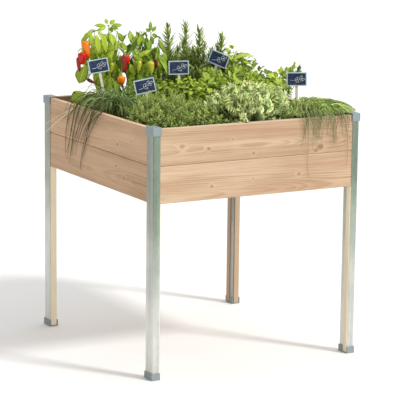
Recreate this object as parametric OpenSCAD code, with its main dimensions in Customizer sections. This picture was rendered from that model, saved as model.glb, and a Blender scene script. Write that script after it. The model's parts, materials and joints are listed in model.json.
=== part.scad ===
// Raised planter on legs.
// Four galvanised channel posts hold tongued boards that slide down between
// their flanges. The boards stand on wooden infill strips inside the posts,
// and a slatted floor with a felt liner carries the soil, the plants and
// five pull-out name tags. The origin is on the floor, under the middle.

/* [Overall] */
// Width over the posts, along the front
plan_x = 750; // [650:10:900]
// Depth over the posts, along the sides
plan_y = 800; // [750:10:950]
// Height to the top of the post caps
total_h = 800; // [650:10:950]

/* [Posts and caps] */
// Thickness of the post steel
steel_t = 1.5; // [1:0.1:2.5]
// Outer radius of the post's corner bend
bend_r = 2.5; // [1:0.5:3]
// How deep a side board sits in its channel
seat_depth = 21; // [15:1:30]
// How far caps and shoes stand proud of a post
cap_over = 3; // [2:0.5:4]
// Thickness of a cap's top plate
cap_plate = 5; // [3:0.5:6]
// Height of a cap's skirt, plate included
cap_h = 26; // [15:1:40]
// Thickness of a shoe's sole
shoe_sole = 4; // [3:0.5:8]
// Height of a shoe's wall, sole included
shoe_h = 22; // [15:1:40]

/* [Boards] */
// Thickness of a board
board_t = 20; // [18:1:25]
// Face height of a board
board_h = 117; // [90:1:130]
// Room between a board and its channel
channel_play = 1; // [0.5:0.1:1.5]
// Height of the tongue
tongue_h = 6; // [4:0.5:8]
// Thickness of the tongue
tongue_t = 6; // [5:0.5:8]
// Bevel along the edges of a board
board_bevel = 1.5; // [0.5:0.5:3]
// Open joint between the shoulders of two boards
seam_gap = 1; // [0:0.5:2]

/* [Floor] */
// Side of the square ledger battens
ledger_w = 25; // [20:1:30]
// Height of the ledgers above the bottom edge of the boards
ledger_rise = 5; // [0:1:10]
// Number of floor slats
slat_count = 6; // [4:1:6]
// Thickness of a floor slat
slat_t = 18; // [15:1:22]
// Gap between floor slats
slat_gap = 7; // [3:1:12]
// Thickness of the felt liner
liner_t = 1.5; // [1:0.5:3]

/* [Soil and plants] */
// Drop from the rim to the soil
soil_drop = 29.5; // [20:0.5:60]
// Height of the tallest plant above the soil
plant_h = 290; // [200:10:350]

/* [Name tags] */
// Width of a tag's plate
tag_w = 67; // [50:1:90]
// Height of a tag's plate
tag_h = 46; // [35:1:60]
// Thickness of a tag's plate
tag_t = 3; // [2:0.5:5]
// Width of a tag's stick
stick_w = 9; // [6:0.5:12]
// Thickness of a tag's stick
stick_t = 3; // [2:0.5:5]
// Depth of a tag's stick in the soil
stick_depth = 70; // [40:5:90]

/* [Hidden] */
corners = ["front_left", "front_right", "back_left", "back_right"];
sides = ["front", "back", "left", "right"];
plants = ["pepper_plant", "rosemary", "mint", "flat_parsley", "basil", "oregano",
          "chives_left", "thyme", "curly_parsley", "chives_right"];
tag_total = 5;

// Small clearance between pieces that lie beside each other
gap = 0.5;
// A post's channels and outside, in plan
channel_w = board_t + channel_play;
post_x = channel_w + 2 * steel_t;
divider_y = steel_t + channel_w;
side_seat_y = divider_y + steel_t;
post_y = side_seat_y + seat_depth;

// Levels, from the floor up
post_top = total_h - cap_plate;
rim_z = post_top - gap;
seam_z = rim_z - board_h;
box_z = seam_z - board_h;
ledger_z = box_z + ledger_rise;
slat_z = ledger_z + ledger_w;
liner_z = slat_z + slat_t;
soil_z = rim_z - soil_drop;
liner_top = total_h - cap_h - 2;

// Lengths of the boards and infill strips, which all start a gap inside
front_board_l = plan_x - 2 * (steel_t + gap);
side_board_l = plan_y - 2 * (side_seat_y + gap);
infill_h = box_z - shoe_sole;
front_infill_l = post_x + cap_over - steel_t - gap;
side_infill_l = seat_depth + cap_over - gap;

// Faces of the boards, measured in from the outside of the posts
board_inner = steel_t + board_t;

// The room between the four posts, which the floor and the liner fill
bay_x = plan_x - 2 * (post_x + gap);
bay_y = plan_y - 2 * (board_inner + gap);
floor_x = bay_x - 3;
slat_w = (floor_x - (slat_count - 1) * slat_gap) / slat_count;
ledger_l = floor_x - 6;

// Countersunk wood screws
screw_r = 2;
screw_l = 38;
screw_head_r = 4;
screw_head_h = 2.6;
hole_play = 0.1;
ledger_screws = 5;

// Staples along the top of the liner
staple_w = 10;
staple_wire = 1.2;
staples_per_side = 6;

// Where each tag's stick enters the soil, how far up the stick the middle of
// its plate is, its tilt to the left, its lean back and the way it faces
tag_places = [
    [-247,  176, 156,  11,  0, -29],
    [-221, -103, 122,  13,  0, -29],
    [ -42,   47, 152,   2,  0, -29],
    [  79,  122, 180, -20,  0, -45],
    [ 310, -121, 115,   1,  0, -29]
];
tag_margin = 4;
slot_play = 0.5;
plate_hold = 26;

// Middle of each plant's mound, half its width, half its depth, its height
mounds = [
    [-172,  262, 150, 100, plant_h],
    [  75,  226,  92, 136, 280],
    [ 262,  255,  82, 112, 182],
    [ 196,    6, 142,  86, 160],
    [ -52,  -12, 100,  84, 150],
    [-128,  117,  76,  43, 140],
    [-282,   54,  64, 112, 106],
    [-208, -232, 138, 134, 112],
    [  48, -242, 114, 124, 132],
    [ 270, -248,  74, 122,  88]
];
// Steps in the curve of a mound, and how square its shoulders are
mound_steps = 7;
mound_power = 0.8;
// Blades that hang over the rim: their reach along it, and their length
spill_w = 90;
spill_l = 130;
spill_t = 3;

// Shared helpers ----------------------------------------------------------

// Puts a corner piece, drawn with its outer corner at the origin and its
// inside along +X and +Y, at corner i
module at_corner(i) {
    right = i % 2;
    back = floor(i / 2);
    translate([(right - 0.5) * plan_x, (back - 0.5) * plan_y, 0])
        mirror([right, 0, 0])
            mirror([0, back, 0])
                children();
}

// A box from its two opposite corners
module block(a, b) {
    translate(a) cube(b - a);
}

// Posts -------------------------------------------------------------------

// One sheet bent into an open channel towards the front board and another
// towards the side board
module post_section() {
    difference() {
        union() {
            square([steel_t, post_y]);
            square([post_x, steel_t]);
            translate([0, divider_y]) square([post_x, steel_t]);
            translate([post_x - steel_t, divider_y])
                square([steel_t, post_y - divider_y]);
        }
        difference() {
            square(bend_r);
            translate([bend_r, bend_r]) circle(bend_r, $fn = 32);
        }
    }
}

module post(i) {
    color([0.66, 0.69, 0.68])
        at_corner(i)
            translate([0, 0, shoe_sole])
                linear_extrude(post_top - shoe_sole) post_section();
}

// Walls that wrap the outside of a post and its inner flange
module post_wrap(z, h) {
    far_x = post_x + cap_over;
    far_y = post_y + cap_over;
    block([-cap_over, -cap_over, z], [0, far_y, z + h]);
    block([-cap_over, -cap_over, z], [far_x, 0, z + h]);
    block([post_x, divider_y + steel_t, z], [far_x, far_y, z + h]);
}

module wrap_plate(z, h) {
    block([-cap_over, -cap_over, z], [post_x + cap_over, post_y + cap_over, z + h]);
}

module top_cap(i) {
    color([0.55, 0.62, 0.66])
        at_corner(i) {
            wrap_plate(post_top, cap_plate);
            post_wrap(total_h - cap_h, cap_h);
        }
}

module foot_shoe(i) {
    color([0.55, 0.62, 0.66])
        at_corner(i) {
            wrap_plate(0, shoe_sole);
            post_wrap(0, shoe_h);
        }
}

// Strip that stands in the front channel, under the front or back boards
module front_infill(i) {
    color([0.80, 0.68, 0.50])
        at_corner(i)
            translate([steel_t + gap, steel_t, shoe_sole])
                cube([front_infill_l, board_t, infill_h]);
}

// Strip that stands in the side channel, under the side boards
module side_infill(i) {
    color([0.80, 0.68, 0.50])
        at_corner(i)
            translate([steel_t, side_seat_y + gap, shoe_sole])
                cube([board_t, side_infill_l, infill_h]);
}

// Boards ------------------------------------------------------------------

// Section of a board: X is its thickness, from the outside in, and Y is up.
// A tongue stands on the lower board. The groove of the upper board rests on
// it, which leaves an open joint between their shoulders.
module board_section(has_tongue) {
    b = board_bevel;
    foot = has_tongue ? 0 : seam_gap;
    groove_t = tongue_t + gap;
    difference() {
        union() {
            polygon([[b, foot], [board_t - b, foot], [board_t, foot + b],
                     [board_t, board_h - b], [board_t - b, board_h],
                     [b, board_h], [0, board_h - b], [0, foot + b]]);
            if (has_tongue)
                translate([(board_t - tongue_t) / 2, board_h - 1])
                    square([tongue_t, tongue_h + 1]);
        }
        if (!has_tongue)
            translate([(board_t - groove_t) / 2, -1])
                square([groove_t, tongue_h + 1]);
    }
}

// A board of the front, drawn along X with its outside towards -Y
module board_x(has_tongue) {
    translate([-front_board_l / 2, steel_t - plan_y / 2, 0])
        rotate([90, 0, 90])
            linear_extrude(front_board_l) board_section(has_tongue);
}

// A board of the left side, drawn along Y with its outside towards -X
module board_y(has_tongue) {
    translate([steel_t - plan_x / 2, side_board_l / 2, 0])
        rotate([90, 0, 0])
            linear_extrude(side_board_l) board_section(has_tongue);
}

// A board of side s: front and back run along X, left and right along Y
module board_of_side(s, has_tongue) {
    if (s < 2)
        mirror([0, s, 0]) board_x(has_tongue);
    else
        mirror([s - 2, 0, 0]) board_y(has_tongue);
}

module upper_board(s) {
    color([0.83, 0.71, 0.60])
        translate([0, 0, seam_z]) board_of_side(s, false);
}

module lower_board(s) {
    color([0.80, 0.67, 0.55])
        difference() {
            translate([0, 0, box_z]) board_of_side(s, true);
            if (s < 2)
                mirror([0, s, 0]) screws_in_ledger(hole_play);
        }
}

// Floor -------------------------------------------------------------------

// One screw, its head's flat top at the origin and its point towards -Z.
// play widens it into the hole that it sits in.
module screw(play) {
    r = screw_r + play;
    head_r = screw_head_r + play;
    translate([0, 0, -screw_head_h]) cylinder(screw_head_h, r, head_r, $fn = 32);
    translate([0, 0, -screw_l - play]) cylinder(screw_l - screw_head_h + 2 * play, r, r, $fn = 32);
}

// Screws that hold the front ledger to the lower board
module screws_in_ledger(play) {
    step = (ledger_l - 60) / (ledger_screws - 1);
    for (i = [0 : ledger_screws - 1])
        translate([-ledger_l / 2 + 30 + i * step,
                   -plan_y / 2 + board_inner + ledger_w, ledger_z + 9])
            rotate([-90, 0, 0]) screw(play);
}

// Screws at the front end of floor slat i
module screws_in_slat(i, play) {
    for (side = [-1, 1])
        translate([slat_x(i) + side * slat_w / 4,
                   -plan_y / 2 + board_inner + ledger_w / 2 + 3, liner_z])
            screw(play);
}

function slat_x(i) = (i - (slat_count - 1) / 2) * (slat_w + slat_gap);

// Batten along the foot of the front or back boards
module ledger(back) {
    color([0.77, 0.64, 0.48])
        mirror([0, back, 0])
            difference() {
                translate([-ledger_l / 2, -plan_y / 2 + board_inner, ledger_z])
                    cube([ledger_l, ledger_w, ledger_w]);
                screws_in_ledger(hole_play);
                for (i = [0 : slat_count - 1]) screws_in_slat(i, hole_play);
            }
}

module floor_slat(i) {
    color([0.78, 0.65, 0.50])
        difference() {
            translate([slat_x(i) - slat_w / 2, -bay_y / 2, slat_z])
                cube([slat_w, bay_y, slat_t]);
            for (back = [0, 1])
                mirror([0, back, 0]) screws_in_slat(i, hole_play);
        }
}

module floor_screws() {
    color([0.75, 0.72, 0.55])
        for (back = [0, 1])
            mirror([0, back, 0]) {
                screws_in_ledger(0);
                for (i = [0 : slat_count - 1]) screws_in_slat(i, 0);
            }
}

// Liner and soil ----------------------------------------------------------

module liner() {
    color([0.22, 0.22, 0.21])
        difference() {
            block([-bay_x / 2, -bay_y / 2, liner_z], [bay_x / 2, bay_y / 2, liner_top]);
            block([liner_t - bay_x / 2, liner_t - bay_y / 2, liner_z + liner_t],
                  [bay_x / 2 - liner_t, bay_y / 2 - liner_t, liner_top + 1]);
        }
}

// Flat staple crowns on the inside of the liner's top edge
module liner_staples() {
    z = liner_top - 4;
    step_x = bay_x / staples_per_side;
    step_y = bay_y / staples_per_side;
    color([0.70, 0.72, 0.73])
        for (turn = [0, 1], i = [0 : staples_per_side - 1]) {
            x = (i - (staples_per_side - 1) / 2) * step_x - staple_w / 2;
            y = (i - (staples_per_side - 1) / 2) * step_y - staple_w / 2;
            mirror([0, turn, 0])
                translate([x, liner_t - bay_y / 2, z])
                    cube([staple_w, staple_wire, staple_wire]);
            mirror([turn, 0, 0])
                translate([liner_t - bay_x / 2, y, z])
                    cube([staple_wire, staple_w, staple_wire]);
        }
}

module soil() {
    color([0.23, 0.16, 0.11])
        difference() {
            block([liner_t - bay_x / 2, liner_t - bay_y / 2, liner_z + liner_t],
                  [bay_x / 2 - liner_t, bay_y / 2 - liner_t, soil_z]);
            for (i = [0 : tag_total - 1])
                at_tag(i) stick_block(slot_play, -stick_depth - slot_play, 20);
        }
}

// Name tags ---------------------------------------------------------------

// Puts a tag, drawn with its stick up Z and its face towards -Y, in the soil
module at_tag(i) {
    p = tag_places[i];
    translate([p[0], p[1], soil_z])
        rotate([0, 0, p[5]])
            rotate([-p[4], -p[3], 0])
                children();
}

// The stick between two heights, play wider on each side
module stick_block(play, low, high) {
    block([-stick_w / 2 - play, -play, low], [stick_w / 2 + play, stick_t + play, high]);
}

module tag_plate(i) {
    z = tag_places[i][2];
    color([0.10, 0.14, 0.24])
        at_tag(i)
            block([-tag_w / 2, -tag_t, z - tag_h / 2], [tag_w / 2, 0, z + tag_h / 2]);
}

module tag_stick(i) {
    color([0.88, 0.83, 0.68])
        at_tag(i)
            stick_block(0, -stick_depth, tag_places[i][2] - tag_h / 2 + plate_hold);
}

// Everything that a tag passes through when it is pulled out
module tag_path(i) {
    z = tag_places[i][2];
    m = tag_margin;
    at_tag(i) {
        stick_block(m, -stick_depth, z);
        block([-tag_w / 2 - m, -tag_t - m, z - tag_h / 2 - m],
              [tag_w / 2 + m, stick_t + m, z + tag_h + 2 * stick_depth]);
    }
}

// Plants ------------------------------------------------------------------

// Rounded dome of radius r and height h
module dome(r, h) {
    curve = [for (k = [0 : mound_steps])
        let (a = 90 * k / mound_steps)
        [r * pow(cos(a), mound_power), h * pow(sin(a), mound_power)]];
    rotate_extrude($fn = 48) polygon(concat([[0, 0]], curve));
}

// Closed mound in the space that a plant takes up: domes in a row along its
// longer side, with room for the tags
module mound(i) {
    m = mounds[i];
    r = min(m[2], m[3]);
    difference() {
        translate([m[0], m[1], soil_z])
            for (k = [-1, 0, 1])
                translate([k * (m[2] - r), k * (m[3] - r), 0]) dome(r, m[4]);
        for (t = [0 : tag_total - 1]) tag_path(t);
    }
}

// Blades that lie across the rim and hang down outside it, drawn for the
// left side with y as the middle of their reach
module spill(edge, y, inside) {
    out = -edge - 1.5;
    block([out, y - spill_w / 2, rim_z + gap], [inside, y + spill_w / 2, rim_z + gap + 6]);
    block([out, y - spill_w / 2, rim_z - spill_l], [out + spill_t, y + spill_w / 2, rim_z + gap + 6]);
}

module plant(i) {
    color([0.36, 0.52, 0.20]) {
        mound(i);
        if (plants[i] == "chives_left")
            spill(plan_x / 2 + 1, mounds[i][1], mounds[i][0]);
        if (plants[i] == "chives_right")
            rotate([0, 0, 90])
                spill(plan_y / 2 + 1, -mounds[i][0], mounds[i][1]);
    }
}

// Nodes -------------------------------------------------------------------

for (i = [0 : 3]) {
    post(i);
    top_cap(i);
    foot_shoe(i);
    front_infill(i);
    side_infill(i);
    upper_board(i);
    lower_board(i);
}
ledger(0);  // ledger_front
ledger(1);  // ledger_back
for (i = [0 : slat_count - 1])
    floor_slat(i);
floor_screws();
liner();
liner_staples();
soil();
for (i = [0 : len(plants) - 1])
    plant(i);
for (i = [0 : tag_total - 1]) {
    tag_plate(i);
    tag_stick(i);
}
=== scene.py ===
"""Raised planter on legs: galvanised posts, Douglas boards, herbs, a pepper plant and name tags.

Everything is in metres in the CAD frame: +X to the right along the front, +Y to the back, +Z up.
"""
import json
import math

import bmesh
import bpy
import numpy as np
from mathutils import Matrix, Vector


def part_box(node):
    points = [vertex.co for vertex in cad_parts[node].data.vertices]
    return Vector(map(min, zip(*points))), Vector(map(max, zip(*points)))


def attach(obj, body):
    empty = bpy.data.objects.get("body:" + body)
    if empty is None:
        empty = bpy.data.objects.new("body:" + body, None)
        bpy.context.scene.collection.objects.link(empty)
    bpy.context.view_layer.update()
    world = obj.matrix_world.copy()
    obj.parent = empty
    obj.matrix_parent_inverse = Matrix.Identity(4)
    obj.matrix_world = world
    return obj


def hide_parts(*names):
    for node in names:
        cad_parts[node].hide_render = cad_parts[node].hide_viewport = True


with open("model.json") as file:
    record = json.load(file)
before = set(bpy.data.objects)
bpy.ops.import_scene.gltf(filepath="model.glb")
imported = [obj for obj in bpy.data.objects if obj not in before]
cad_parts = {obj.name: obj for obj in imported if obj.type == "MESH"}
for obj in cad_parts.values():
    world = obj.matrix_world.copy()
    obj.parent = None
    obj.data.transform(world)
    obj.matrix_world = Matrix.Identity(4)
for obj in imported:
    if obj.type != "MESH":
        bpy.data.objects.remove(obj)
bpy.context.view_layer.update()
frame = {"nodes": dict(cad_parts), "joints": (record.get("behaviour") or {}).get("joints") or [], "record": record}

NODES = frame["nodes"]
UP = np.array([0.0, 0.0, 1.0])
FLAT = np.array([1, 1, 0])      # keeps x and y, and drops z
TURN = 6.28
GOLDEN = math.radians(137.508)


# ---------------------------------------------------------------- node materials

class Value:
    """A node's output. Arithmetic on it adds math nodes to its material."""

    def __init__(self, shader, socket):
        self.shader = shader
        self.socket = socket

    def math(self, operation, other=0.0, **settings):
        return self.shader.node("Math", 0, {0: self, 1: other}, operation=operation, **settings)

    def __add__(self, other):
        return self.math("ADD", other)

    def __sub__(self, other):
        return self.math("SUBTRACT", other)

    def __mul__(self, other):
        return self.math("MULTIPLY", other)

    def times(self, scale):
        """A vector's three parts, each times its own number."""
        return self.shader.node("VectorMath", "Vector", {0: self, 1: scale}, operation="MULTIPLY")

    def length(self):
        return self.shader.node("VectorMath", "Value", {0: self}, operation="LENGTH")

    def parts(self, kind="SeparateXYZ"):
        return [Value(self.shader, part) for part in self.shader.add(kind, {0: self}).outputs]

    def ramp(self, low, high, to_low=0.0, to_high=1.0):
        """The value taken smoothly from low..high to to_low..to_high."""
        limits = {0: self, 1: low, 2: high, 3: to_low, 4: to_high}
        return self.shader.node("MapRange", 0, limits, interpolation_type="SMOOTHSTEP")


class Shader:
    """A material's node tree, with short calls that add nodes and link them."""

    def __init__(self, name, **sockets):
        self.material = bpy.data.materials.new(name)
        self.material.use_nodes = True
        self.tree = self.material.node_tree
        self.bsdf = self.tree.nodes["Principled BSDF"]
        for socket, value in sockets.items():
            self.bsdf.inputs[socket.replace("_", " ").title().replace("Ior", "IOR")].default_value = value

    def set(self, socket, value):
        """Puts a number, a colour or another node's output into a socket."""
        if isinstance(value, Value):
            self.tree.links.new(value.socket, socket)
        elif socket.type == "RGBA":
            socket.default_value = (*value, 1.0)
        else:
            socket.default_value = value

    def add(self, kind, inputs, **settings):
        made = self.tree.nodes.new("ShaderNode" + kind)
        for key, value in settings.items():
            setattr(made, key, value)
        for key, value in inputs.items():
            self.set(made.inputs[key], value)
        return made

    def node(self, kind, output, inputs, **settings):
        """Adds a node and gives that output of it."""
        return Value(self, self.add(kind, inputs, **settings).outputs[output])

    def mix(self, factor, a, b, blend="MIX"):
        return self.node("Mix", 2, {0: factor, 6: a, 7: b}, data_type="RGBA", blend_type=blend)

    def place(self, scale=(1.0, 1.0, 1.0)):
        """The place on the piece, in metres, scaled."""
        return self.node("Mapping", 0, {"Vector": self.node("TexCoord", "Object", {}), "Scale": scale})

    def normal(self):
        return self.node("NewGeometry", "Normal", {})

    def noise(self, place, scale, detail=3.0, roughness=0.5, distortion=0.0):
        return self.node("TexNoise", 0, {"Vector": place, "Scale": scale, "Detail": detail,
                                         "Roughness": roughness, "Distortion": distortion})

    def crystals(self, place, scale):
        """Cells that each have one value of their own."""
        return self.node("TexVoronoi", "Color", {"Vector": place, "Scale": scale}).parts("SeparateColor")[0]

    def marks(self):
        """What Plant says at each point: the way along, the way out, and that copy's lightness."""
        return self.node("Attribute", "Color", {}, attribute_name="leaf").parts("SeparateColor")

    def finish(self, colour, roughness=None, height=None, depth=0.001, strength=1.0):
        """Links the colour, and if given the roughness and a bump of that depth in metres."""
        self.set(self.bsdf.inputs["Base Color"], colour)
        if roughness is not None:
            self.set(self.bsdf.inputs["Roughness"], roughness)
        if height is not None:
            bump = {"Height": height, "Distance": depth, "Strength": strength}
            self.set(self.bsdf.inputs["Normal"], self.node("Bump", 0, bump))
        return self.material


def wood(name, grain, pale, dark, heart=(0.3, 0.3), knots=(), seed=0.0, ring=0.0050, sawn=0.0):
    """Softwood. grain is the axis that it runs along. heart is the middle of the tree, across the
    face and into the piece: the growth rings run round it, so a near one gives long pointed arches.
    knots are (place along the grain, place across, radius, darkness). All are in metres."""
    s = Shader(name, roughness=0.62, specular_ior_level=0.3)
    axes = dict(zip("XYZ", s.node("TexCoord", "Object", {}).parts()))
    along, across, deep = [axes[a] for a in {"X": "XZY", "Y": "YZX", "Z": "ZXY"}[grain]]
    place = s.node("CombineXYZ", 0, {0: along + seed, 1: across, 2: deep})

    def streaks(length, width, detail, roughness=0.5, scale=1.0):
        """Noise drawn out along the grain: how fast it changes along and across it."""
        return s.noise(place.times((length, width, width)), scale, detail, roughness)

    # Distance from the tree's heart, which sways and tapers, and bulges round the knots
    dx = across - heart[0] + streaks(0.8, 1.0, 1.0) * 0.05
    dy = deep - heart[1] + streaks(1.1, 1.0, 1.0, scale=1.7) * 0.07
    out = (dx * dx + dy * dy).math("SQRT") + along * 0.035
    core, halo = 0.0, 0.0
    for k_along, k_across, radius, darkness in knots:
        far = s.node("CombineXYZ", 0, {0: (along - k_along) * (0.75 / radius),
                                       1: (across - k_across) * (1.0 / radius)}).length()
        core = (far.ramp(1.1, 0.5) * darkness).math("MAXIMUM", core)
        halo = far.ramp(2.6, 1.1).math("MAXIMUM", halo)
        out = out + far.ramp(3.6, 0.0) * (0.55 * radius)
    # Growth rings of uneven width, each darker towards its end
    rings = out * (1.0 / ring)
    band = s.noise(s.node("CombineXYZ", 0, {0: rings, 1: seed}), 0.16, 3.0)
    rings = rings + band * 5.0 + streaks(5.0, 30.0, 2.0) * 0.5
    year = rings.math("FRACT")
    late = year.ramp(0.2, 0.9) * year.ramp(1.0, 0.9)
    fibre = streaks(14.0, 520.0, 4.0, 0.65)
    tone = late * 0.30 + 0.15
    for part, weight in ((band, 0.84), (streaks(2.2, 95.0, 4.0, 0.65), 1.12), (fibre, 0.68),
                         (streaks(2.5, 7.0, 2.0), 1.0)):
        tone = tone + (part - 0.5) * weight
    colour = s.mix(tone.ramp(-0.25, 0.95), pale, dark)
    rosy = tuple(c * k for c, k in zip(dark, (1.22, 1.12, 1.25)))
    colour = s.mix(streaks(1.2, 11.0, 2.0, scale=2.0).ramp(0.5, 0.8, 0.0, 0.5), colour, rosy)
    if knots:
        colour = s.mix(halo * 0.3, colour, tuple(1.03 * c for c in pale))
        heartwood = (0.72 * dark[0], 0.52 * dark[1], 0.42 * dark[2])
        colour = s.mix(core * fibre.ramp(0.2, 0.6, 0.75, 1.0), colour, heartwood)
    # Painted highlight: a face that points up is lighter, as if lit from above
    edge = tuple(min(1.0, 1.28 * c + 0.04) for c in pale)
    colour = s.mix(s.normal().parts()[2].ramp(0.5, 0.9, 0.0, 0.65), colour, edge)
    height = fibre * (0.5 + sawn) + late * 0.35
    return s.finish(colour, late.ramp(0.0, 1.0, 0.7, 0.55), height, 0.0004 + 0.0006 * sawn, 0.7)


def galvanised(name="galvanised_steel", shade=1.0):
    """Hot-dip zinc: flat crystals in slightly different greys and faint runs. Painted shade darkens it towards the
    top, under the box, and a painted tint of light makes the faces to the front greener and darker than the sides.
    shade darkens all of it."""
    s = Shader(name, roughness=0.42, metallic=1.0)
    place = s.place()
    crystal = s.crystals(s.place((1.0, 1.0, 0.6)), 120.0)
    runs = s.noise(s.place((75.0, 75.0, 2.2)), 1.0, 4.0)
    soft = s.noise(place, 9.0, 3.0)
    bright = (crystal * 0.16 + runs * 0.62 + soft * 0.3).ramp(0.25, 0.85)
    # Painted shade: the zinc is darker towards the top, where the box above shades the post
    lit_low = (place.parts()[2] + soft * -0.2).ramp(0.58, 0.02)
    shaded_grey = s.mix(bright, (0.22, 0.245, 0.215), (0.37, 0.40, 0.365))
    lit_grey = s.mix(bright, (0.55, 0.555, 0.53), (0.76, 0.765, 0.74))
    # Painted light: the faces to the front get a greener, darker tint than the sides, most near the top
    front = s.normal().parts()[1].math("ABSOLUTE")
    shaded_hue = s.mix(front, (1.16, 1.12, 1.10), (0.79, 0.935, 0.80))
    lit_hue = s.mix(front, (1.12, 1.12, 1.10), (0.98, 0.99, 0.975))
    hue = s.mix(lit_low, shaded_hue, lit_hue).times((shade, shade, shade))
    colour = s.mix(1.0, s.mix(lit_low, shaded_grey, lit_grey), hue, blend="MULTIPLY")
    return s.finish(colour, (crystal + runs * 0.6).ramp(0.2, 1.3, 0.38, 0.6), crystal + soft, 0.0003, 0.3)


def cap_plastic():
    """Satin blue-grey moulding with a fine grain."""
    s = Shader("grey_cap", roughness=0.42)
    soft = s.noise(s.place(), 26.0, 3.0)
    colour = s.mix(soft, (0.195, 0.25, 0.26), (0.28, 0.335, 0.345))
    return s.finish(colour, soft.ramp(0.3, 0.7, 0.36, 0.5), s.noise(s.place(), 900.0, 2.0), 0.0002, 0.4)


def screw_metal(name, low, high):
    """Plated wire or screw steel, from its low colour to its high one."""
    s = Shader(name, roughness=0.35, metallic=1.0)
    soft = s.noise(s.place(), 400.0, 3.0)
    return s.finish(s.mix(soft, low, high), soft.ramp(0.3, 0.7, 0.28, 0.5))


def felt(name):
    """Needle-felt: matted dark fibres in all directions."""
    s = Shader(name, roughness=0.95)
    fuzz = s.noise(s.place(), 700.0, 5.0, 0.7, 1.5)
    tone = fuzz * 0.7 + s.noise(s.place(), 60.0, 3.0) * 0.3
    colour = s.mix(tone.ramp(0.3, 0.7), (0.012, 0.012, 0.012), (0.055, 0.055, 0.052))
    return s.finish(colour, None, fuzz, 0.0012, 0.9)


def soil_matter():
    """Dark crumbly potting soil with lighter bark and a few white grains."""
    s = Shader("potting_soil", roughness=0.95)
    crumbs = s.noise(s.place(), 190.0, 6.0, 0.7)
    bits = s.crystals(s.place(), 260.0)
    colour = s.mix(crumbs.ramp(0.35, 0.65), (0.012, 0.008, 0.005), (0.075, 0.048, 0.030))
    colour = s.mix(bits.ramp(0.88, 0.93, 0.0, 0.8), colour, (0.17, 0.10, 0.055))
    colour = s.mix(bits.ramp(0.985, 0.99, 0.0, 0.8), colour, (0.62, 0.60, 0.55))
    return s.finish(colour, None, crumbs + s.noise(s.place(), 45.0, 4.0), 0.006, 1.0)


def leaf_matter(name, dark, pale, vein=None, rim=None, gloss=0.45, ribs=9.0, patch=None):
    """A leaf's skin, darker and paler from leaf to leaf, with ribs side veins a leaf. rim colours
    a ragged edge, and patch tinges parts of the plant."""
    s = Shader(name, roughness=gloss, specular_ior_level=0.22)
    along, out, tint = s.marks()
    mottle = s.noise(s.place(), 120.0, 3.0)
    tone = tint + (mottle - 0.5) * 0.5
    colour = s.mix(tone.math("ADD", 0.0, use_clamp=True), dark, pale)
    if patch:
        area = s.noise(s.place(), 24.0, 2.0).ramp(0.46, 0.62)
        colour = s.mix(area, colour, s.mix(1.0, colour, patch, blend="MULTIPLY"))
    wave = ((along - out * 0.22) * (ribs * 2 * math.pi)).math("SINE")
    if vein:
        side = wave.ramp(0.86, 1.0) * 0.45
        colour = s.mix(out.ramp(0.13, 0.02).math("MAXIMUM", side), colour, vein)
    if rim:
        colour = s.mix((out + (mottle - 0.5) * 0.9).ramp(0.75, 1.0), colour, rim)
    return s.finish(colour, mottle.ramp(0.3, 0.7, gloss - 0.08, gloss + 0.12), wave * 0.5 + mottle,
                    0.0006, 0.5)


def fruit_matter(name, deep, bright, tip):
    """Waxy fruit skin that ripens from the tip."""
    s = Shader(name, roughness=0.2, specular_ior_level=0.3, coat_weight=0.25, coat_roughness=0.12)
    along, _, tint = s.marks()
    soft = s.noise(s.place(), 55.0, 3.0)
    colour = s.mix((tint + soft).ramp(0.4, 1.3), deep, bright)
    colour = s.mix((along + soft * 0.4).ramp(0.7, 1.25), colour, tip)
    return s.finish(colour, soft.ramp(0.3, 0.7, 0.15, 0.3), soft, 0.0008, 0.3)


def slate_face():
    """Navy chalkboard with wiped chalk dust."""
    s = Shader("tag_slate_face", roughness=0.75)
    dust = s.noise(s.place((1.0, 1.0, 2.5)), 70.0, 5.0, 0.65, 0.8)
    fine = s.noise(s.place(), 1400.0, 2.0)
    colour = s.mix(dust.ramp(0.42, 0.85), (0.010, 0.028, 0.085), (0.085, 0.135, 0.235))
    return s.finish(colour, fine.ramp(0.3, 0.7, 0.65, 0.85), fine, 0.0001, 0.5)


def painted(name, low, high, rough=0.6, grain=500.0):
    """Matt paint with a fine grain."""
    s = Shader(name, roughness=rough)
    fine = s.noise(s.place(), grain, 3.0)
    return s.finish(s.mix(fine, low, high), fine.ramp(0.3, 0.7, rough - 0.1, rough + 0.1), fine, 0.0002, 0.4)


# ---------------------------------------------------------------- small helpers

def dress(node, material, bevel=0.0, segments=2):
    """Gives a CAD node its material, and rounds its edges."""
    obj = NODES[node]
    obj.data.materials.clear()
    obj.data.materials.append(material)
    weld = obj.modifiers.new("joined", "WELD")
    weld.merge_threshold = 1e-6
    if bevel:
        made = obj.modifiers.new("edges", "BEVEL")
        made.width = bevel
        made.segments = segments
        made.limit_method = "ANGLE"
        made.angle_limit = math.radians(40)
        made.harden_normals = True


def body_of_node(node):
    """The body that a CAD node belongs to."""
    for body, nodes in frame["record"]["behaviour"]["bodies"].items():
        if node in nodes:
            return body
    raise ValueError(node)


def make_object(name, mesh, node, materials, replaces=True):
    """A new piece that rides on the body of a CAD node, gets the given materials, and stands for the node if it
    replaces it."""
    obj = bpy.data.objects.new(name, mesh)
    bpy.context.scene.collection.objects.link(obj)
    for material in materials:
        mesh.materials.append(material)
    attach(obj, body_of_node(node))
    if replaces:
        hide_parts(node)
    return obj


def unit(v):
    """Vectors at length 1."""
    return v / np.maximum(np.linalg.norm(v, axis=-1, keepdims=True), 1e-9)


def path(*points):
    """Four points, or four rows of points, as one cubic curve or many."""
    return np.stack(points, -2)


def bezier(points, u):
    """Places on cubic curves: points is (..., 4, 3), u is (K,), and the result is (..., K, 3)."""
    v = 1 - u
    weights = np.stack([v ** 3, 3 * v * v * u, 3 * v * u * u, u ** 3], -1)
    return np.einsum("kj,...jd->...kd", weights, points)


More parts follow.
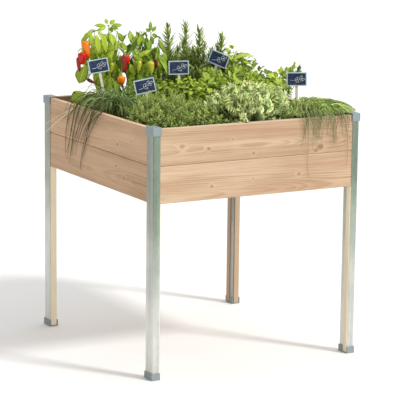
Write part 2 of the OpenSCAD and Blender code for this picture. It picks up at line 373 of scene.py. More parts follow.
def bezier_way(points, u):
    """Unit tangents of cubic curves."""
    v = 1 - u
    weights = np.stack([-v * v, v * v - 2 * v * u, 2 * v * u - u * u, u * u], -1)
    return unit(np.einsum("kj,...jd->...kd", weights, points))


def tube_quads(rings, sides):
    """Faces of a closed tube: rings of an even number of points, with both ends closed by quads."""
    k = np.arange(sides)
    ring = np.stack([k, (k + 1) % sides, (k + 1) % sides + sides, k + sides], -1)
    walls = (ring[None] + (np.arange(rings - 1) * sides)[:, None, None]).reshape(-1, 4)
    fan = np.array([[0, j, j + 1, j + 2] for j in range(1, sides - 1, 2)])
    return np.concatenate([walls, fan[:, ::-1], fan + (rings - 1) * sides])


def leaf_form(rings, columns, outline):
    """A closed thin leaf: for each point the way along it, out from its midrib, up through its
    thickness, and half its width there."""
    top = np.linspace(-1, 1, columns + 1)
    out = np.concatenate([top, top[-2:0:-1]])
    thick = np.concatenate([1 - top ** 2, -(1 - top[-2:0:-1] ** 2)])
    s = np.linspace(0, 1, rings)
    along, out = np.meshgrid(s, out, indexing="ij")
    thick = np.broadcast_to(thick, along.shape)
    half = np.array([outline(a) for a in s])[:, None] * np.ones_like(along)
    return {"along": along.ravel(), "out": out.ravel(), "thick": thick.ravel(),
            "half": half.ravel(), "quads": tube_quads(rings, 2 * columns)}


def oval(a, b, stalk=0.0, teeth=0, bite=0.0):
    """Outline of a leaf: half its width at each place along it, 1 at the widest. stalk is the
    share that is only stalk, and teeth notches of depth bite run along the edge."""
    peak = (a / (a + b)) ** a * (b / (a + b)) ** b

    def half(s):
        if s < stalk:
            return 0.05
        u = (s - stalk) / (1 - stalk)
        w = max(u, 0.0) ** a * max(1 - u, 0.0) ** b / peak
        if teeth:
            w *= 1 - bite * (0.5 + 0.5 * math.cos(2 * math.pi * teeth * u))
        return max(w, 0.04)
    return half


def tag_frame(number):
    """Middle of a tag's plate, the ways across it, up its stick and out of its face, and its size."""
    mesh = NODES[f"tag_plate_{number}"].data
    joint = next(j for j in frame["joints"] if j["child"] == f"tag_{number}")
    up = Vector(joint["axis"]).normalized()
    out = max(mesh.polygons, key=lambda f: f.area).normal.copy()
    if out.y > 0:
        out.negate()
    across = out.cross(up).normalized() * -1
    points = [v.co for v in mesh.vertices]
    middle = sum(points, Vector()) / len(points)
    size = [max(p.dot(way) for p in points) - min(p.dot(way) for p in points)
            for way in (across, up, out)]
    return middle, across, up, out, size


def tag_paths():
    """What each tag passes through when it is pulled: boxes as a middle, three ways and half sizes."""
    paths = []
    for number in range(1, 6):
        middle, across, up, out, size = tag_frame(number)
        joint = next(j for j in frame["joints"] if j["child"] == f"tag_{number}")
        travel = joint["range_m"][1]
        ways = np.array([across, up, out])
        plate = np.array([size[0] / 2, (size[1] + travel) / 2, size[2] + FACE_ROOM / 2]) + TAG_ROOM
        paths.append((np.array(middle + up * travel / 2 + out * FACE_ROOM / 2), ways, plate))
        stick = np.array([STICK_HALF, 0.5 * STICK_REACH, size[2]]) + TAG_ROOM
        paths.append((np.array(middle - up * 0.5 * STICK_REACH - out * size[2]), ways, stick))
    return paths


def hits_tag(points):
    """Which of many copies, (N, V, 3), have a point in a tag's path."""
    hit = np.zeros(len(points), bool)
    for middle, ways, half in TAG_PATHS:
        local = np.abs((points - middle) @ ways.T)
        hit |= np.all(local < half, -1).any(-1)
    return hit


def off_the_boards(points):
    """Keeps leaves out of the boards: they lie on the rim, or against the inner or outer face."""
    near, gap = 0.0006, 0.0008
    for axis in (0, 1):
        inner, outer = INNER[axis], OUTER[axis]
        away = np.abs(points[..., axis])
        inside = (away > inner) & (away < outer + near) & (points[..., 2] < RIM_Z + near)
        deep = inside & (points[..., 2] < RIM_Z - RIM_DEPTH)
        within = deep & (away < (inner + outer) / 2)
        points[..., 2] = np.where(inside & ~deep, RIM_Z + gap, points[..., 2])
        side = np.sign(points[..., axis])
        points[..., axis] = np.where(within, side * (inner - gap / 2), points[..., axis])
        points[..., axis] = np.where(deep & ~within, side * (outer + gap), points[..., axis])
    return points


class Plant:
    """Gathers stems, leaves and fruit into one mesh, all drawn from one seeded random source."""

    def __init__(self, seed, grown=True, spill=True):
        self.random = np.random.default_rng(seed)
        self.grown = grown
        self.spill = spill
        self.points, self.quads, self.marks, self.slots = [], [], [], []
        self.size = 0

    def put(self, points, quads, along, out, tint, slot):
        """Adds many copies of one form: points is (N, V, 3). For its material the mesh holds how
        far along and how far out from the middle each point is, and each copy's lightness, tint.
        Copies that a tag would run into are left out."""
        tint = np.broadcast_to(np.asarray(tint, float), (len(points),))
        if self.grown:
            free = ~hits_tag(points)
            if not self.spill:
                free &= ~(np.abs(points[..., :2]) > np.array(OUTER)).any((1, 2))
            points = off_the_boards(points[free])
            tint = tint[free]
        count, each = points.shape[:2]
        start = self.size + np.arange(count) * each
        self.points.append(points.reshape(-1, 3))
        self.quads.append((quads[None] + start[:, None, None]).reshape(-1, 4))
        marks = np.empty((count, each, 4), np.float32)
        marks[..., 0] = along
        marks[..., 1] = np.abs(out)
        marks[..., 2] = tint[:, None]
        marks[..., 3] = 1.0
        self.marks.append(marks.reshape(-1, 4))
        self.slots.append(np.full(count * len(quads), slot))
        self.size += count * each

    def leaves(self, form, base, forward, face, length, width, bend=0.5, fold=0.2, wave=0.0,
               waves=3.0, tint=0.5, thick=0.0005, slot=0):
        """Leaves at base that point forward with their upper side to face. bend is the turn in
        radians that each droops along its length, fold the lift of its edges."""
        n = len(base)
        length, width, bend, fold, wave = [np.broadcast_to(np.asarray(v, float), (n,))[:, None]
                                           for v in (length, width, bend, fold, wave)]
        bend = np.where(np.abs(bend) < 1e-3, 1e-3, bend)
        forward = unit(forward)
        face = unit(face - forward * np.sum(face * forward, -1, keepdims=True))
        side = np.cross(forward, face)
        s, t, h, half = form["along"], form["out"], form["thick"], form["half"]
        turn = bend * s
        reach = length * np.sin(turn) / bend
        drop = -length * (1 - np.cos(turn)) / bend
        span = half * width / 2
        phase = self.random.uniform(0, TURN, (n, 1))
        ripple = wave * np.sin(waves * TURN * s + phase) * t * t * np.sign(t + 1e-9)
        lift = np.abs(t) * span * np.sin(fold) + ripple * span + h * thick
        across = t * span * np.cos(fold)
        normal = face[:, None] * np.cos(turn)[..., None] + forward[:, None] * np.sin(turn)[..., None]
        points = (base[:, None] + forward[:, None] * reach[..., None]
                  + face[:, None] * drop[..., None] + side[:, None] * across[..., None]
                  + normal * lift[..., None])
        self.put(points, form["quads"], s, t, tint, slot)

    def tubes(self, curves, radius, taper, sides=6, rings=8, tint=0.5, slot=0):
        """Round tubes along cubic curves, (N, 4, 3). taper is the share of the radius lost on the
        way to the end, or a function that gives the share left at each place along."""
        shares = [taper(a) if callable(taper) else 1 - taper * a for a in np.linspace(0.0, 1.0, rings)]
        curves = curves.reshape(-1, 4, 3)
        u = np.linspace(0.0, 1.0, rings)
        middle, way = bezier(curves, u), bezier_way(curves, u)
        chord = curves[:, 3] - curves[:, 0] + np.array([1e-5, 2e-5, 0.0])
        chord[:, 2] = 0
        normal = unit(np.cross(way, unit(np.cross(UP, chord))[:, None]))
        side = np.cross(normal, way)
        angle = np.arange(sides) * 2 * math.pi / sides
        radius = np.broadcast_to(np.asarray(radius, float), (len(curves),))
        r = radius[:, None, None, None] * np.array(shares)[None, :, None, None]
        ring = side[:, :, None] * np.cos(angle)[:, None] + normal[:, :, None] * np.sin(angle)[:, None]
        points = (middle[:, :, None] + r * ring).reshape(len(curves), -1, 3)
        along = np.repeat(u, sides)
        out = np.tile(np.abs(np.sin(angle)), rings)
        self.put(points, tube_quads(rings, sides), along, out, tint, slot)

    def build(self, name, node, materials, replaces=True):
        mesh = bpy.data.meshes.new(name)
        points = np.concatenate(self.points)
        quads = np.concatenate(self.quads)
        mesh.from_pydata(points.tolist(), [], quads.tolist())
        marks = mesh.attributes.new("leaf", "FLOAT_COLOR", "POINT")
        marks.data.foreach_set("color", np.concatenate(self.marks).ravel())
        mesh.polygons.foreach_set("material_index", np.concatenate(self.slots).astype(np.int32))
        mesh.polygons.foreach_set("use_smooth", np.ones(len(quads), bool))
        mesh.update()
        make_object(name, mesh, node, materials, replaces)


def leaf_row(plant, curve, u, turn0, step, lean, jitter=0.25):
    """Where leaves stand on a stem: their bases, the ways they point and the ways they face.
    lean is each leaf's angle from the stem, and step the turn round it from one to the next."""
    base = bezier(curve, u)
    way = bezier_way(curve, u)
    k = np.arange(len(u))
    angle = turn0 + k * step + plant.random.normal(0, jitter, len(u))
    first = unit(np.cross(way, np.array([0.3, 0.2, 0.9])))
    second = np.cross(way, first)
    radial = first * np.cos(angle)[:, None] + second * np.sin(angle)[:, None]
    lean = lean + plant.random.normal(0, jitter * 0.5, len(u))
    forward = way * np.cos(lean)[:, None] + radial * np.sin(lean)[:, None]
    return base, forward, way


def pairs(plant, curve, u, turn0, lean):
    """Opposite leaves, each pair at a right angle to the one below."""
    rows = [leaf_row(plant, curve, u, turn0 + side, math.pi / 2, lean) for side in (0.0, math.pi)]
    return [np.concatenate(part) for part in zip(*rows)]


def spots(plant, low, high, count, fill):
    """Places spread over the squarish oval inside a box, as (x, y, distance from its middle)."""
    k = np.arange(count) + 0.5
    r = np.sqrt(k / count)
    angle = k * GOLDEN
    r = np.clip(r + plant.random.normal(0, 0.12 / math.sqrt(count) * 3, count), 0, 1)
    square = fill * r / np.maximum(np.abs(np.cos(angle)), np.abs(np.sin(angle))) ** 0.6
    x = (low.x + high.x) / 2 + square * np.cos(angle) * (high.x - low.x) / 2
    y = (low.y + high.y) / 2 + square * np.sin(angle) * (high.y - low.y) / 2
    return x, y, r


def stems(plant, node, count, fill=0.95, root=0.45, shoulder=0.45, low_share=0.75, top=1.0,
          back_rise=0.0):
    """Curved stems that rise from the soil and fill the space of a CAD mound up to top times its
    height, and higher at the back by back_rise. root is how far apart their feet stand, and a
    small shoulder keeps the mound tall out to its edge."""
    low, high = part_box(node)
    x, y, r = spots(plant, low, high, count, fill)
    mid_x, mid_y = (low.x + high.x) / 2, (low.y + high.y) / 2
    tall = top * (high.z - SOIL_Z) * np.power(np.clip(1 - r * r, 0.02, 1), shoulder)
    tall = tall * plant.random.uniform(low_share, 1.0, count)
    tall = tall * (1 + back_rise * (y - mid_y) / (high.y - mid_y))
    tip = np.stack([x, y, SOIL_Z + tall], -1)
    foot = np.stack([mid_x + (x - mid_x) * root, mid_y + (y - mid_y) * root,
                     np.full(count, SOIL_Z - 0.006)], -1)
    rise = tall[:, None] * UP
    swing = plant.random.normal(0, 0.05, (count, 3)) * tall[:, None]
    return path(foot, foot + rise * 0.4 + swing, tip - rise * 0.35 - swing + (tip - foot) * 0.1, tip)


def before_stick(number, count, below, spread=0.016, ahead=0.020):
    """Stems that rise just in front of a tag's stick and end a little below its plate."""
    middle, across, up, out, size = tag_frame(number)
    share = np.linspace(-1, 1, count)[:, None]
    centre = np.array(middle - up * (size[1] / 2 + below) + out * ahead)
    tip = centre + np.array(across) * spread * share - UP * 0.012 * share ** 2
    foot = tip * FLAT + UP * (SOIL_Z - 0.005)
    rise = (tip - foot) * 0.4
    return path(foot, foot + rise, tip - rise, tip)


# ---------------------------------------------------------------- structure

CORNERS = ["front_left", "front_right", "back_left", "back_right"]
SOIL_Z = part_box("soil")[1].z
RIM_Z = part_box("upper_board_front")[1].z
# Inner and outer faces of the boards, from the middle: across, and to the back
INNER = (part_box("upper_board_right")[0].x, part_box("upper_board_back")[0].y)
OUTER = (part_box("upper_board_right")[1].x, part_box("upper_board_back")[1].y)
# How far below the rim a leaf that runs into a board is still laid over it
RIM_DEPTH = 0.022
# Room that leaves keep round a tag and in front of its face, half a stick's width, and how far
# down the stick it matters
TAG_ROOM = 0.0015
FACE_ROOM = 0.045
STICK_HALF = 0.0045
STICK_REACH = 0.20
TAG_PATHS = tag_paths()
# Colours of the wood: boards along X, boards along Y, and the dark of both. The boards along Y are a warmer copy:
# painted shade, for the side faces that stand in shade
PALE_WOOD = (0.615, 0.450, 0.303)
SIDE_SHADE_WOOD = (0.655, 0.435, 0.270)
DARK_WOOD = (0.37, 0.225, 0.120)
SAWN_WOOD = (0.62, 0.46, 0.30), (0.44, 0.28, 0.15)
STRIP_WOOD = (0.90, 0.81, 0.60), (0.72, 0.59, 0.38)
# A darker copy of the strip wood: painted shade for the back right leg
SHADED_STRIP_WOOD = (0.50, 0.37, 0.25), (0.40, 0.28, 0.17)
# The leg whose steel and strips are darker copies of their finishes: painted shade, for the shade that leg stands
# in
SHADED_CORNER = "back_right"


def metalwork():
    # The second zinc is a darker copy: painted shade for the back right leg
    bright, shaded_metal, cap = galvanised(), galvanised("weathered_steel", 0.62), cap_plastic()
    for corner in CORNERS:
        dress("post_" + corner, shaded_metal if corner == SHADED_CORNER else bright, bevel=0.0004)
        dress("top_cap_" + corner, cap, bevel=0.0012, segments=3)
        dress("foot_shoe_" + corner, cap, bevel=0.0010, segments=3)
    dress("floor_screws", screw_metal("zinc_screw", (0.50, 0.42, 0.20), (0.72, 0.64, 0.38)))
    dress("liner_staples", screw_metal("staple_wire", (0.5, 0.5, 0.5), (0.75, 0.75, 0.76)))


# Knots of each board: (share of its length, share of its height, radius, darkness)
KNOTS = {
    "upper_board_front": [(0.131, 0.49, 0.0090, 0.45), (0.257, 0.38, 0.0055, 0.70),
                          (0.375, 0.58, 0.0050, 0.35), (0.475, 0.16, 0.0055, 0.60),
                          (0.808, 0.18, 0.0110, 0.75), (0.786, 0.09, 0.0075, 0.65)],
    "lower_board_front": [(0.274, 0.34, 0.0060, 0.55), (0.702, 0.46, 0.0065, 0.60),
                          (0.475, 0.45, 0.0045, 0.40)],
    "upper_board_left": [(0.17, 0.48, 0.0045, 0.50), (0.30, 0.29, 0.0060, 0.65),
                         (0.71, 0.62, 0.0055, 0.50)],
    "lower_board_left": [(0.31, 0.66, 0.0055, 0.60), (0.24, 0.40, 0.0060, 0.70),
                         (0.62, 0.35, 0.0060, 0.50)],
    "upper_board_right": [(0.30, 0.60, 0.0085, 0.60), (0.72, 0.30, 0.0055, 0.60)],
    "lower_board_right": [(0.18, 0.30, 0.0055, 0.60), (0.55, 0.55, 0.0090, 0.70)],
    "upper_board_back": [(0.25, 0.35, 0.0090, 0.70), (0.62, 0.65, 0.0060, 0.60),
                         (0.85, 0.30, 0.0070, 0.60)],
    "lower_board_back": [(0.42, 0.60, 0.0075, 0.60), (0.78, 0.40, 0.0060, 0.60)],
}


def woodwork():
    for seed, (node, marks) in enumerate(sorted(KNOTS.items())):
        low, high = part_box(node)
        grain = "X" if high.x - low.x > high.y - low.y else "Y"
        axis = 0 if grain == "X" else 1
        knots = [(low[axis] + a * (high[axis] - low[axis]), low.z + z * (high.z - low.z), r, d)
                 for a, z, r, d in marks]
        inward = -1 if low[1 - axis] > 0 else 1
        heart = (low.z + (0.3 + 0.25 * (seed % 3)) * (high.z - low.z) - 0.025,
                 (low[1 - axis] + high[1 - axis]) / 2 + inward * 0.045 - 0.045)
        shade = 1.0 + 0.04 * math.sin(2.4 * seed)
        # Boards along Y take the warmer copy, painted as side faces in shade
        pale = tuple(shade * c for c in (PALE_WOOD if grain == "X" else SIDE_SHADE_WOOD))
        matter = wood("board_" + node, grain, pale, DARK_WOOD, heart, knots, seed * 3.7)
        dress(node, matter, bevel=0.0006)
    infill = wood("infill_wood", "Z", *STRIP_WOOD, seed=9.0)
    # The second strip wood is a darker copy: painted shade for the back right leg
    shaded_strip = wood("browned_infill_wood", "Z", *SHADED_STRIP_WOOD, seed=9.0)
    for corner in CORNERS:
        strip = shaded_strip if corner == SHADED_CORNER else infill
        dress("front_infill_" + corner, strip, bevel=0.0006)
        dress("side_infill_" + corner, strip, bevel=0.0006)
    slat = wood("slat_wood", "Y", *SAWN_WOOD, seed=5.0, sawn=0.6)
    for number in range(1, 7):
        dress(f"floor_slat_{number}", slat, bevel=0.0008)
    batten = wood("ledger_wood", "X", *SAWN_WOOD, seed=2.0, sawn=0.6)
    for side in ("front", "back"):
        dress("ledger_" + side, batten, bevel=0.0008)


def lay_liner():
    """The felt lines the box. Its free top edge wanders a little between the staples."""
    low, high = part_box("liner")
    size = high - low
    thick = 0.0015
    per_side, rows, waves = 48, 10, 6
    slack_in, slack_down = 0.004, 0.002
    corners = [Vector(c) for c in ((low.x, low.y), (high.x, low.y), (high.x, high.y), (low.x, high.y))]
    made = bmesh.new()

    def ring(level, inset, wander):
        out = []
        for a, b in zip(corners, corners[1:] + corners[:1]):
            way = (b - a).normalized()
            inward = Vector((-way.y, way.x))
            for k in range(per_side):
                u = k / per_side
                slack = wander * (0.5 - 0.5 * math.cos(2 * math.pi * waves * u))
                place = a + (b - a) * u + inward * (inset + slack * slack_in)
                if k == 0:
                    place = a + Vector((inset if a.x < 0 else -inset, inset if a.y < 0 else -inset))
                out.append(made.verts.new((place.x, place.y, level - slack * slack_down)))
        return out

    outer, inner = [[ring(low.z + skin + (size.z - skin) * k / rows, skin, (k / rows) ** 3)
                     for k in range(rows + 1)] for skin in (0.0, thick)]
    chain = outer + inner[::-1]
    for one, two in zip(chain, chain[1:]):
        for k in range(len(one)):
            j = (k + 1) % len(one)
            made.faces.new((one[k], one[j], two[j], two[k]))
    made.faces.new(outer[0][::-1])
    made.faces.new(inner[0])
    mesh = bpy.data.meshes.new("felt_liner")
    made.to_mesh(mesh)
    made.free()
    liner = make_object("felt_liner", mesh, "liner", [felt("felt_liner")])


def lay_soil():
    """The soil's surface is heaped a little, and crumbs and clods lie on it."""
    low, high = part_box("soil")
    random = np.random.default_rng(11)
    columns, rows = 110, 118
    gx, gy = np.meshgrid(np.linspace(low.x, high.x, columns + 1), np.linspace(low.y, high.y, rows + 1),
                         indexing="ij")
    # Waves of each size run in seven directions
    z = np.zeros_like(gx)
    for size, tall in ((0.16, 0.004), (0.06, 0.003), (0.024, 0.0022), (0.011, 0.0016)):
        angle = random.uniform(0, TURN, 7)
        phase = random.uniform(0, TURN, 7)
        for a, p in zip(angle, phase):
            z += tall / 2.6 * np.sin((gx * np.cos(a) + gy * np.sin(a)) * TURN / size + p)
    z += random.normal(0, 0.0007, z.shape)
    # It sinks by sunk along the liner
    edge, sunk = 0.05, 0.004
    inside = np.minimum(np.minimum(gx - low.x, high.x - gx), np.minimum(gy - low.y, high.y - gy))
    z = high.z - sunk + z + sunk * np.clip(inside / edge, 0, 1)
    points = np.stack([gx, gy, z], -1).reshape(-1, 3).tolist()
    index = np.arange(len(points)).reshape(columns + 1, rows + 1)
    faces = np.stack([index[:-1, :-1], index[1:, :-1], index[1:, 1:], index[:-1, 1:]], -1)
    faces = faces.reshape(-1, 4).tolist()
    # Walls down from the rim, and the foot
    rim = [int(k) for k in (*index[:, 0], *index[-1, 1:], *index[-2::-1, -1], *index[0, -2:0:-1])]
    foot = [len(points) + k for k in range(len(rim))]
    points += [[points[k][0], points[k][1], low.z] for k in rim]
    for k in range(len(rim)):
        j = (k + 1) % len(rim)
        faces.append([rim[j], rim[k], foot[k], foot[j]])
    faces.append(foot[::-1])
    mesh = bpy.data.meshes.new("potting_soil")
    mesh.from_pydata(points, [], faces)
    mesh.polygons.foreach_set("use_smooth", np.ones(len(faces), bool))
    matter = soil_matter()
    make_object("potting_soil", mesh, "soil", [matter])
    made = bmesh.new()
    margin, crumbs = 0.01, 520
    for _ in range(crumbs):
        size = random.uniform(0.0015, 0.0055)
        ball = bmesh.ops.create_icosphere(made, subdivisions=2, radius=size)["verts"]
        place = Vector((random.uniform(low.x + margin, high.x - margin),
                        random.uniform(low.y + margin, high.y - margin), high.z + size * 0.3))
        squash = Vector(random.uniform(0.6, 1.2, 3))
        for v in ball:
            v.co = v.co * squash * (1 + random.normal(0, 0.12)) + place
    mesh = bpy.data.meshes.new("soil_crumbs")
    made.to_mesh(mesh)
    made.free()
    make_object("soil_crumbs", mesh, "soil", [matter], replaces=False)


# ---------------------------------------------------------------- plants

STEM = 1
# Plants are laid out as seen from the front left corner: the ways across and towards it
ACROSS = np.array([0.873, -0.487, 0.0])
NEAR = np.array([-0.487, -0.873, 0.0])


def herb_matters(name, leaf, stem, **settings):
    """A herb's two materials, from the dark, pale and vein colours of its leaves and stems."""
    return [leaf_matter(name + "_leaf", *leaf, **settings), leaf_matter(name + "_stem", *stem)]


def spot(middle, place):
    """A place given as (across, near, up) from the middle of a plant's foot."""
    return middle + ACROSS * place[0] + NEAR * place[1] + UP * place[2]


def bush(name, node, slot, seed, materials, count, form, nodes, length, width, lean=(1.15, 0.55),
         bend=(0.3, 0.9), fold=(0.1, 0.4), wave=0.0, waves=3.0, opposite=True, stem_radius=0.0012,
         start=0.3, tint=(0.25, 0.9), ratio_tip=0.45, tip_light=0.45, extra=None, more=None, **mound):
    """A leafy herb: count stems over the whole mound, each with leaves at so many nodes up to its
    tip. A pair of numbers is what a leaf has at the foot and at the tip (lean and tint), or the
    least and the most (length, bend and fold). ratio_tip is the size of the last leaves, and
    tip_light how much of the lightness comes from the height. more are stems besides these, extra
    adds leaves of its own, and mound is what stems takes."""
    plant = Plant(seed, spill=False)
    random = plant.random
    curves = stems(plant, node, count, **mound)
    if more is not None:
        curves = np.concatenate([curves, more])
    plant.tubes(curves, stem_radius, 0.6, sides=4, rings=7, slot=STEM)
    u = np.linspace(start, 1.0, nodes)
    share = (u - start) / (1 - start)
    angle = lean[0] + (lean[1] - lean[0]) * share
    grown = np.concatenate([share, share]) if opposite else share
    n = len(grown)
    for curve in curves:
        turn = random.uniform(0, TURN)
        if opposite:
            base, forward, face = pairs(plant, curve, u, turn, angle)
        else:
            base, forward, face = leaf_row(plant, curve, u, turn, GOLDEN, angle)
        size = 1 - (1 - ratio_tip) * np.clip((grown - 0.55) / 0.45, 0, 1)
        size = size * random.uniform(0.75, 1.1, n)
        long = random.uniform(*length, n) * size
        light = tip_light * grown + (1 - tip_light) * random.random(n)
        plant.leaves(form, base, forward, face + UP * 0.5, long, long * width,
                     bend=random.uniform(*bend, n), fold=random.uniform(*fold, n), wave=wave,
                     waves=waves, tint=tint[0] + (tint[1] - tint[0]) * light, thick=0.0004)
    if extra:
        extra(plant, form)
    plant.build(name, node, materials)


def grow_basil():
    """Broad glossy leaves that cup and droop."""
    matters = herb_matters("basil", ((0.10, 0.20, 0.006), (0.46, 0.60, 0.045), (0.48, 0.62, 0.10)),
                           ((0.22, 0.34, 0.08), (0.40, 0.50, 0.16)))
    form = leaf_form(9, 4, oval(0.75, 0.85, stalk=0.12))
    bush("basil_plant", "basil", "basil_foliage", 21, matters, 62, form, 6, (0.038, 0.062),
         0.50, lean=(1.45, 0.9), bend=(0.5, 1.5), fold=(0.15, 0.55), start=0.35, fill=1.12, root=0.6,
         shoulder=0.28, low_share=0.55, wave=0.06, tint=(0.0, 1.0), tip_light=0.5, top=0.88)


def grow_oregano():
    """Many small rounded leaves on thin stems, between the thyme and the parsley."""
    matters = herb_matters("oregano", ((0.132, 0.25, 0.012), (0.405, 0.55, 0.07), (0.422, 0.58, 0.14)),
                           ((0.24, 0.30, 0.09), (0.40, 0.44, 0.18)))
    form = leaf_form(6, 4, oval(0.55, 0.7, stalk=0.12))
    bush("oregano_plant", "oregano", "oregano_foliage", 29, matters, 95, form, 9,
         (0.013, 0.021), 0.62, bend=(0.2, 0.9), start=0.2, fill=1.25, root=0.7,
         shoulder=0.25, low_share=0.5, stem_radius=0.0009)


def grow_mint():
    """Toothed leaves in pairs on upright stems, and one long leaf above them."""

    def arch(plant, form):
        """The long leaf that stands out at the top, and two smaller ones under it."""
        base = np.array([(0.232, 0.190, 0.905), (0.225, 0.195, 0.900), (0.262, 0.188, 0.905)])
        stalk = path(base * FLAT + UP * 0.80, base - UP * 0.05, base - UP * 0.02, base)
        plant.tubes(stalk, 0.0014, 0.4, rings=6, slot=STEM)
        way = np.array([(0.75, -0.25, 0.75), (-0.5, -0.3, 0.75), (0.8, -0.2, 0.1)])
        plant.leaves(form, base, way, UP + 0.5 * NEAR + 0 * base, (0.128, 0.055, 0.065),
                     (0.034, 0.027, 0.032), bend=(1.8, 1.0, 1.0), fold=0.2, wave=0.05,
                     tint=(0.42, 0.30, 0.50))

    matters = herb_matters("mint", ((0.10, 0.22, 0.006), (0.64, 0.80, 0.06), (0.58, 0.74, 0.12)),
                           ((0.16, 0.22, 0.07), (0.30, 0.36, 0.14)))
    form = leaf_form(15, 4, oval(0.65, 0.85, stalk=0.08, teeth=9, bite=0.16))
    bush("mint_plant", "mint", "mint_foliage", 22, matters, 40, form, 7, (0.040, 0.064), 0.52,
         bend=(0.3, 1.3), fold=(0.1, 0.3), start=0.22, stem_radius=0.0015, wave=0.08, fill=1.0,
         shoulder=0.32, low_share=0.6, root=0.55, tint=(-0.1, 1.05), extra=arch)


def grow_pale():
    """Crinkled pale leaves with creamy edges, in a low mound."""
    matters = herb_matters("pale", ((0.26, 0.40, 0.10), (0.76, 0.88, 0.36), (0.78, 0.88, 0.44)),
                           ((0.34, 0.46, 0.16), (0.52, 0.62, 0.28)), rim=(1.0, 0.98, 0.50),
                           patch=(0.84, 0.97, 1.12))
    form = leaf_form(27, 8, oval(0.40, 0.38, stalk=0.1, teeth=5, bite=0.5))
    bush("pale_curly_plant", "curly_parsley", "pale_foliage", 23, matters, 66, form, 5,
         (0.032, 0.056), 0.95, lean=(1.3, 0.8), bend=(-0.9, 1.8), fold=(-0.3, 0.8), wave=1.1,
         waves=4.0, tint=(-0.15, 1.15), shoulder=0.28, low_share=0.5, opposite=False, fill=1.10,
         ratio_tip=0.8, top=0.95)


def grow_thyme():
    """A dense fine mound: tiny narrow leaves that get lighter towards the tips of the stems."""
    matters = herb_matters("thyme", ((0.032, 0.075, 0.006), (0.64, 0.80, 0.22)),
                           ((0.20, 0.19, 0.07), (0.40, 0.42, 0.18)), patch=(0.92, 0.93, 0.80))
    form = leaf_form(3, 2, lambda a: (0.15, 1.0, 0.12)[int(round(a * 2))])
    bush("thyme_plant", "thyme", "thyme_foliage", 24, matters, 240, form, 12, (0.011, 0.018),
         0.36, lean=(1.2, 0.35), bend=(-0.2, 0.5), fold=(0.1, 0.5), start=0.25, stem_radius=0.0007,
         shoulder=0.30, tint=(-0.15, 1.15), ratio_tip=0.6, low_share=0.45, fill=1.06, root=0.6,
         tip_light=0.75, back_rise=0.22, more=before_stick(2, 14, 0.006, spread=0.024))


def compound_leaf(plant, form, base, forward, face, size, tint):
    """One divided leaf: three groups of three lobed leaflets on a short branched stalk."""
    forward = unit(forward)
    side = unit(np.cross(forward, face))
    bases, ways, sizes = [], [], []
    for turn in (-0.95, 0.0, 0.95):
        way = forward * math.cos(turn) + side * math.sin(turn)
        centre = base + way * size * (0.30 if turn else 0.42)
        for k in (-1, 0, 1):
            lean = turn + k * 0.7
            bases.append(centre)
            ways.append(forward * math.cos(lean) + side * math.sin(lean))
            sizes.append(size * (0.52 if k == 0 else 0.40))
    sizes = np.array(sizes) * plant.random.uniform(0.85, 1.15, len(sizes))
    n = len(bases)
    plant.leaves(form, np.array(bases), np.array(ways), np.tile(face, (n, 1)), sizes, sizes * 0.8,
                 bend=plant.random.uniform(0.0, 0.8, n), fold=plant.random.uniform(0.0, 0.3, n),
                 wave=0.15, waves=2.0, tint=np.clip(tint + plant.random.normal(0, 0.1, n), 0, 1))
    twigs = [path(base, base + (b - base) * 0.4, base + (b - base) * 0.7, b)
             for b in bases[1::3]]
    plant.tubes(np.array(twigs), size * 0.018, 0.4, sides=4, rings=3, slot=STEM)


def grow_parsley():
    """Divided leaves on long stalks, spread over the right half of the box."""
    matters = herb_matters("parsley", ((0.085, 0.19, 0.010), (0.62, 0.77, 0.10), (0.56, 0.72, 0.17)),
                           ((0.30, 0.46, 0.07), (0.50, 0.62, 0.14)))
    form = leaf_form(13, 4, oval(0.45, 0.6, stalk=0.05, teeth=4, bite=0.5))
    plant = Plant(25)
    random = plant.random
    low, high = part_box("flat_parsley")
    mid_x, mid_y = 0.196, 0.006
    curves = stems(plant, "flat_parsley", 120, root=0.35, shoulder=0.30, low_share=0.40, fill=1.04,
                   top=0.80)
    # Thinner on the right, where the light comes through
    thin = (curves[:, 3, 0] > low.x + 0.68 * (high.x - low.x)) & (random.random(len(curves)) < 0.5)
    curves = curves[~thin]
    # Tall leaves: at the left in front of a tag, and a spray behind the tag on the right
    for x, y, z in ((0.055, 0.035, 0.094), (0.075, 0.025, 0.102), (0.100, 0.015, 0.100),
                    (0.040, 0.010, 0.086), (0.125, 0.000, 0.106), (0.080, -0.010, 0.092),
                    (0.318, -0.070, 0.118), (0.335, -0.078, 0.115), (0.298, -0.055, 0.108),
                    (0.345, -0.065, 0.112), (0.308, -0.080, 0.104)):
        tip = np.array([x, y, SOIL_Z + z])
        foot = np.array([x + (mid_x - x) * 0.35, y + (mid_y - y) * 0.4, SOIL_Z - 0.005])
        stalk = path(foot, foot + UP * z * 0.4, tip - UP * z * 0.4, tip)
        curves = np.concatenate([curves, stalk[None]])
    curves = np.concatenate([curves, before_stick(4, 4, 0.040, ahead=0.030)])
    plant.tubes(curves, 0.0014, 0.45, slot=STEM, tint=random.uniform(0, 1, len(curves)))
    for curve in curves:
        way = bezier_way(curve, np.array([1.0]))[0]
        out = unit(way + np.array([*(curve[3] - curve[0])[:2], 0.0]) * 4)
        compound_leaf(plant, form, curve[3], out, UP * 0.8 + NEAR * 0.4 + 0.3 * random.normal(0, 1, 3),
                      random.uniform(0.034, 0.056), random.uniform(0.0, 1.0))
    plant.build("flat_parsley_plant", "flat_parsley", matters)


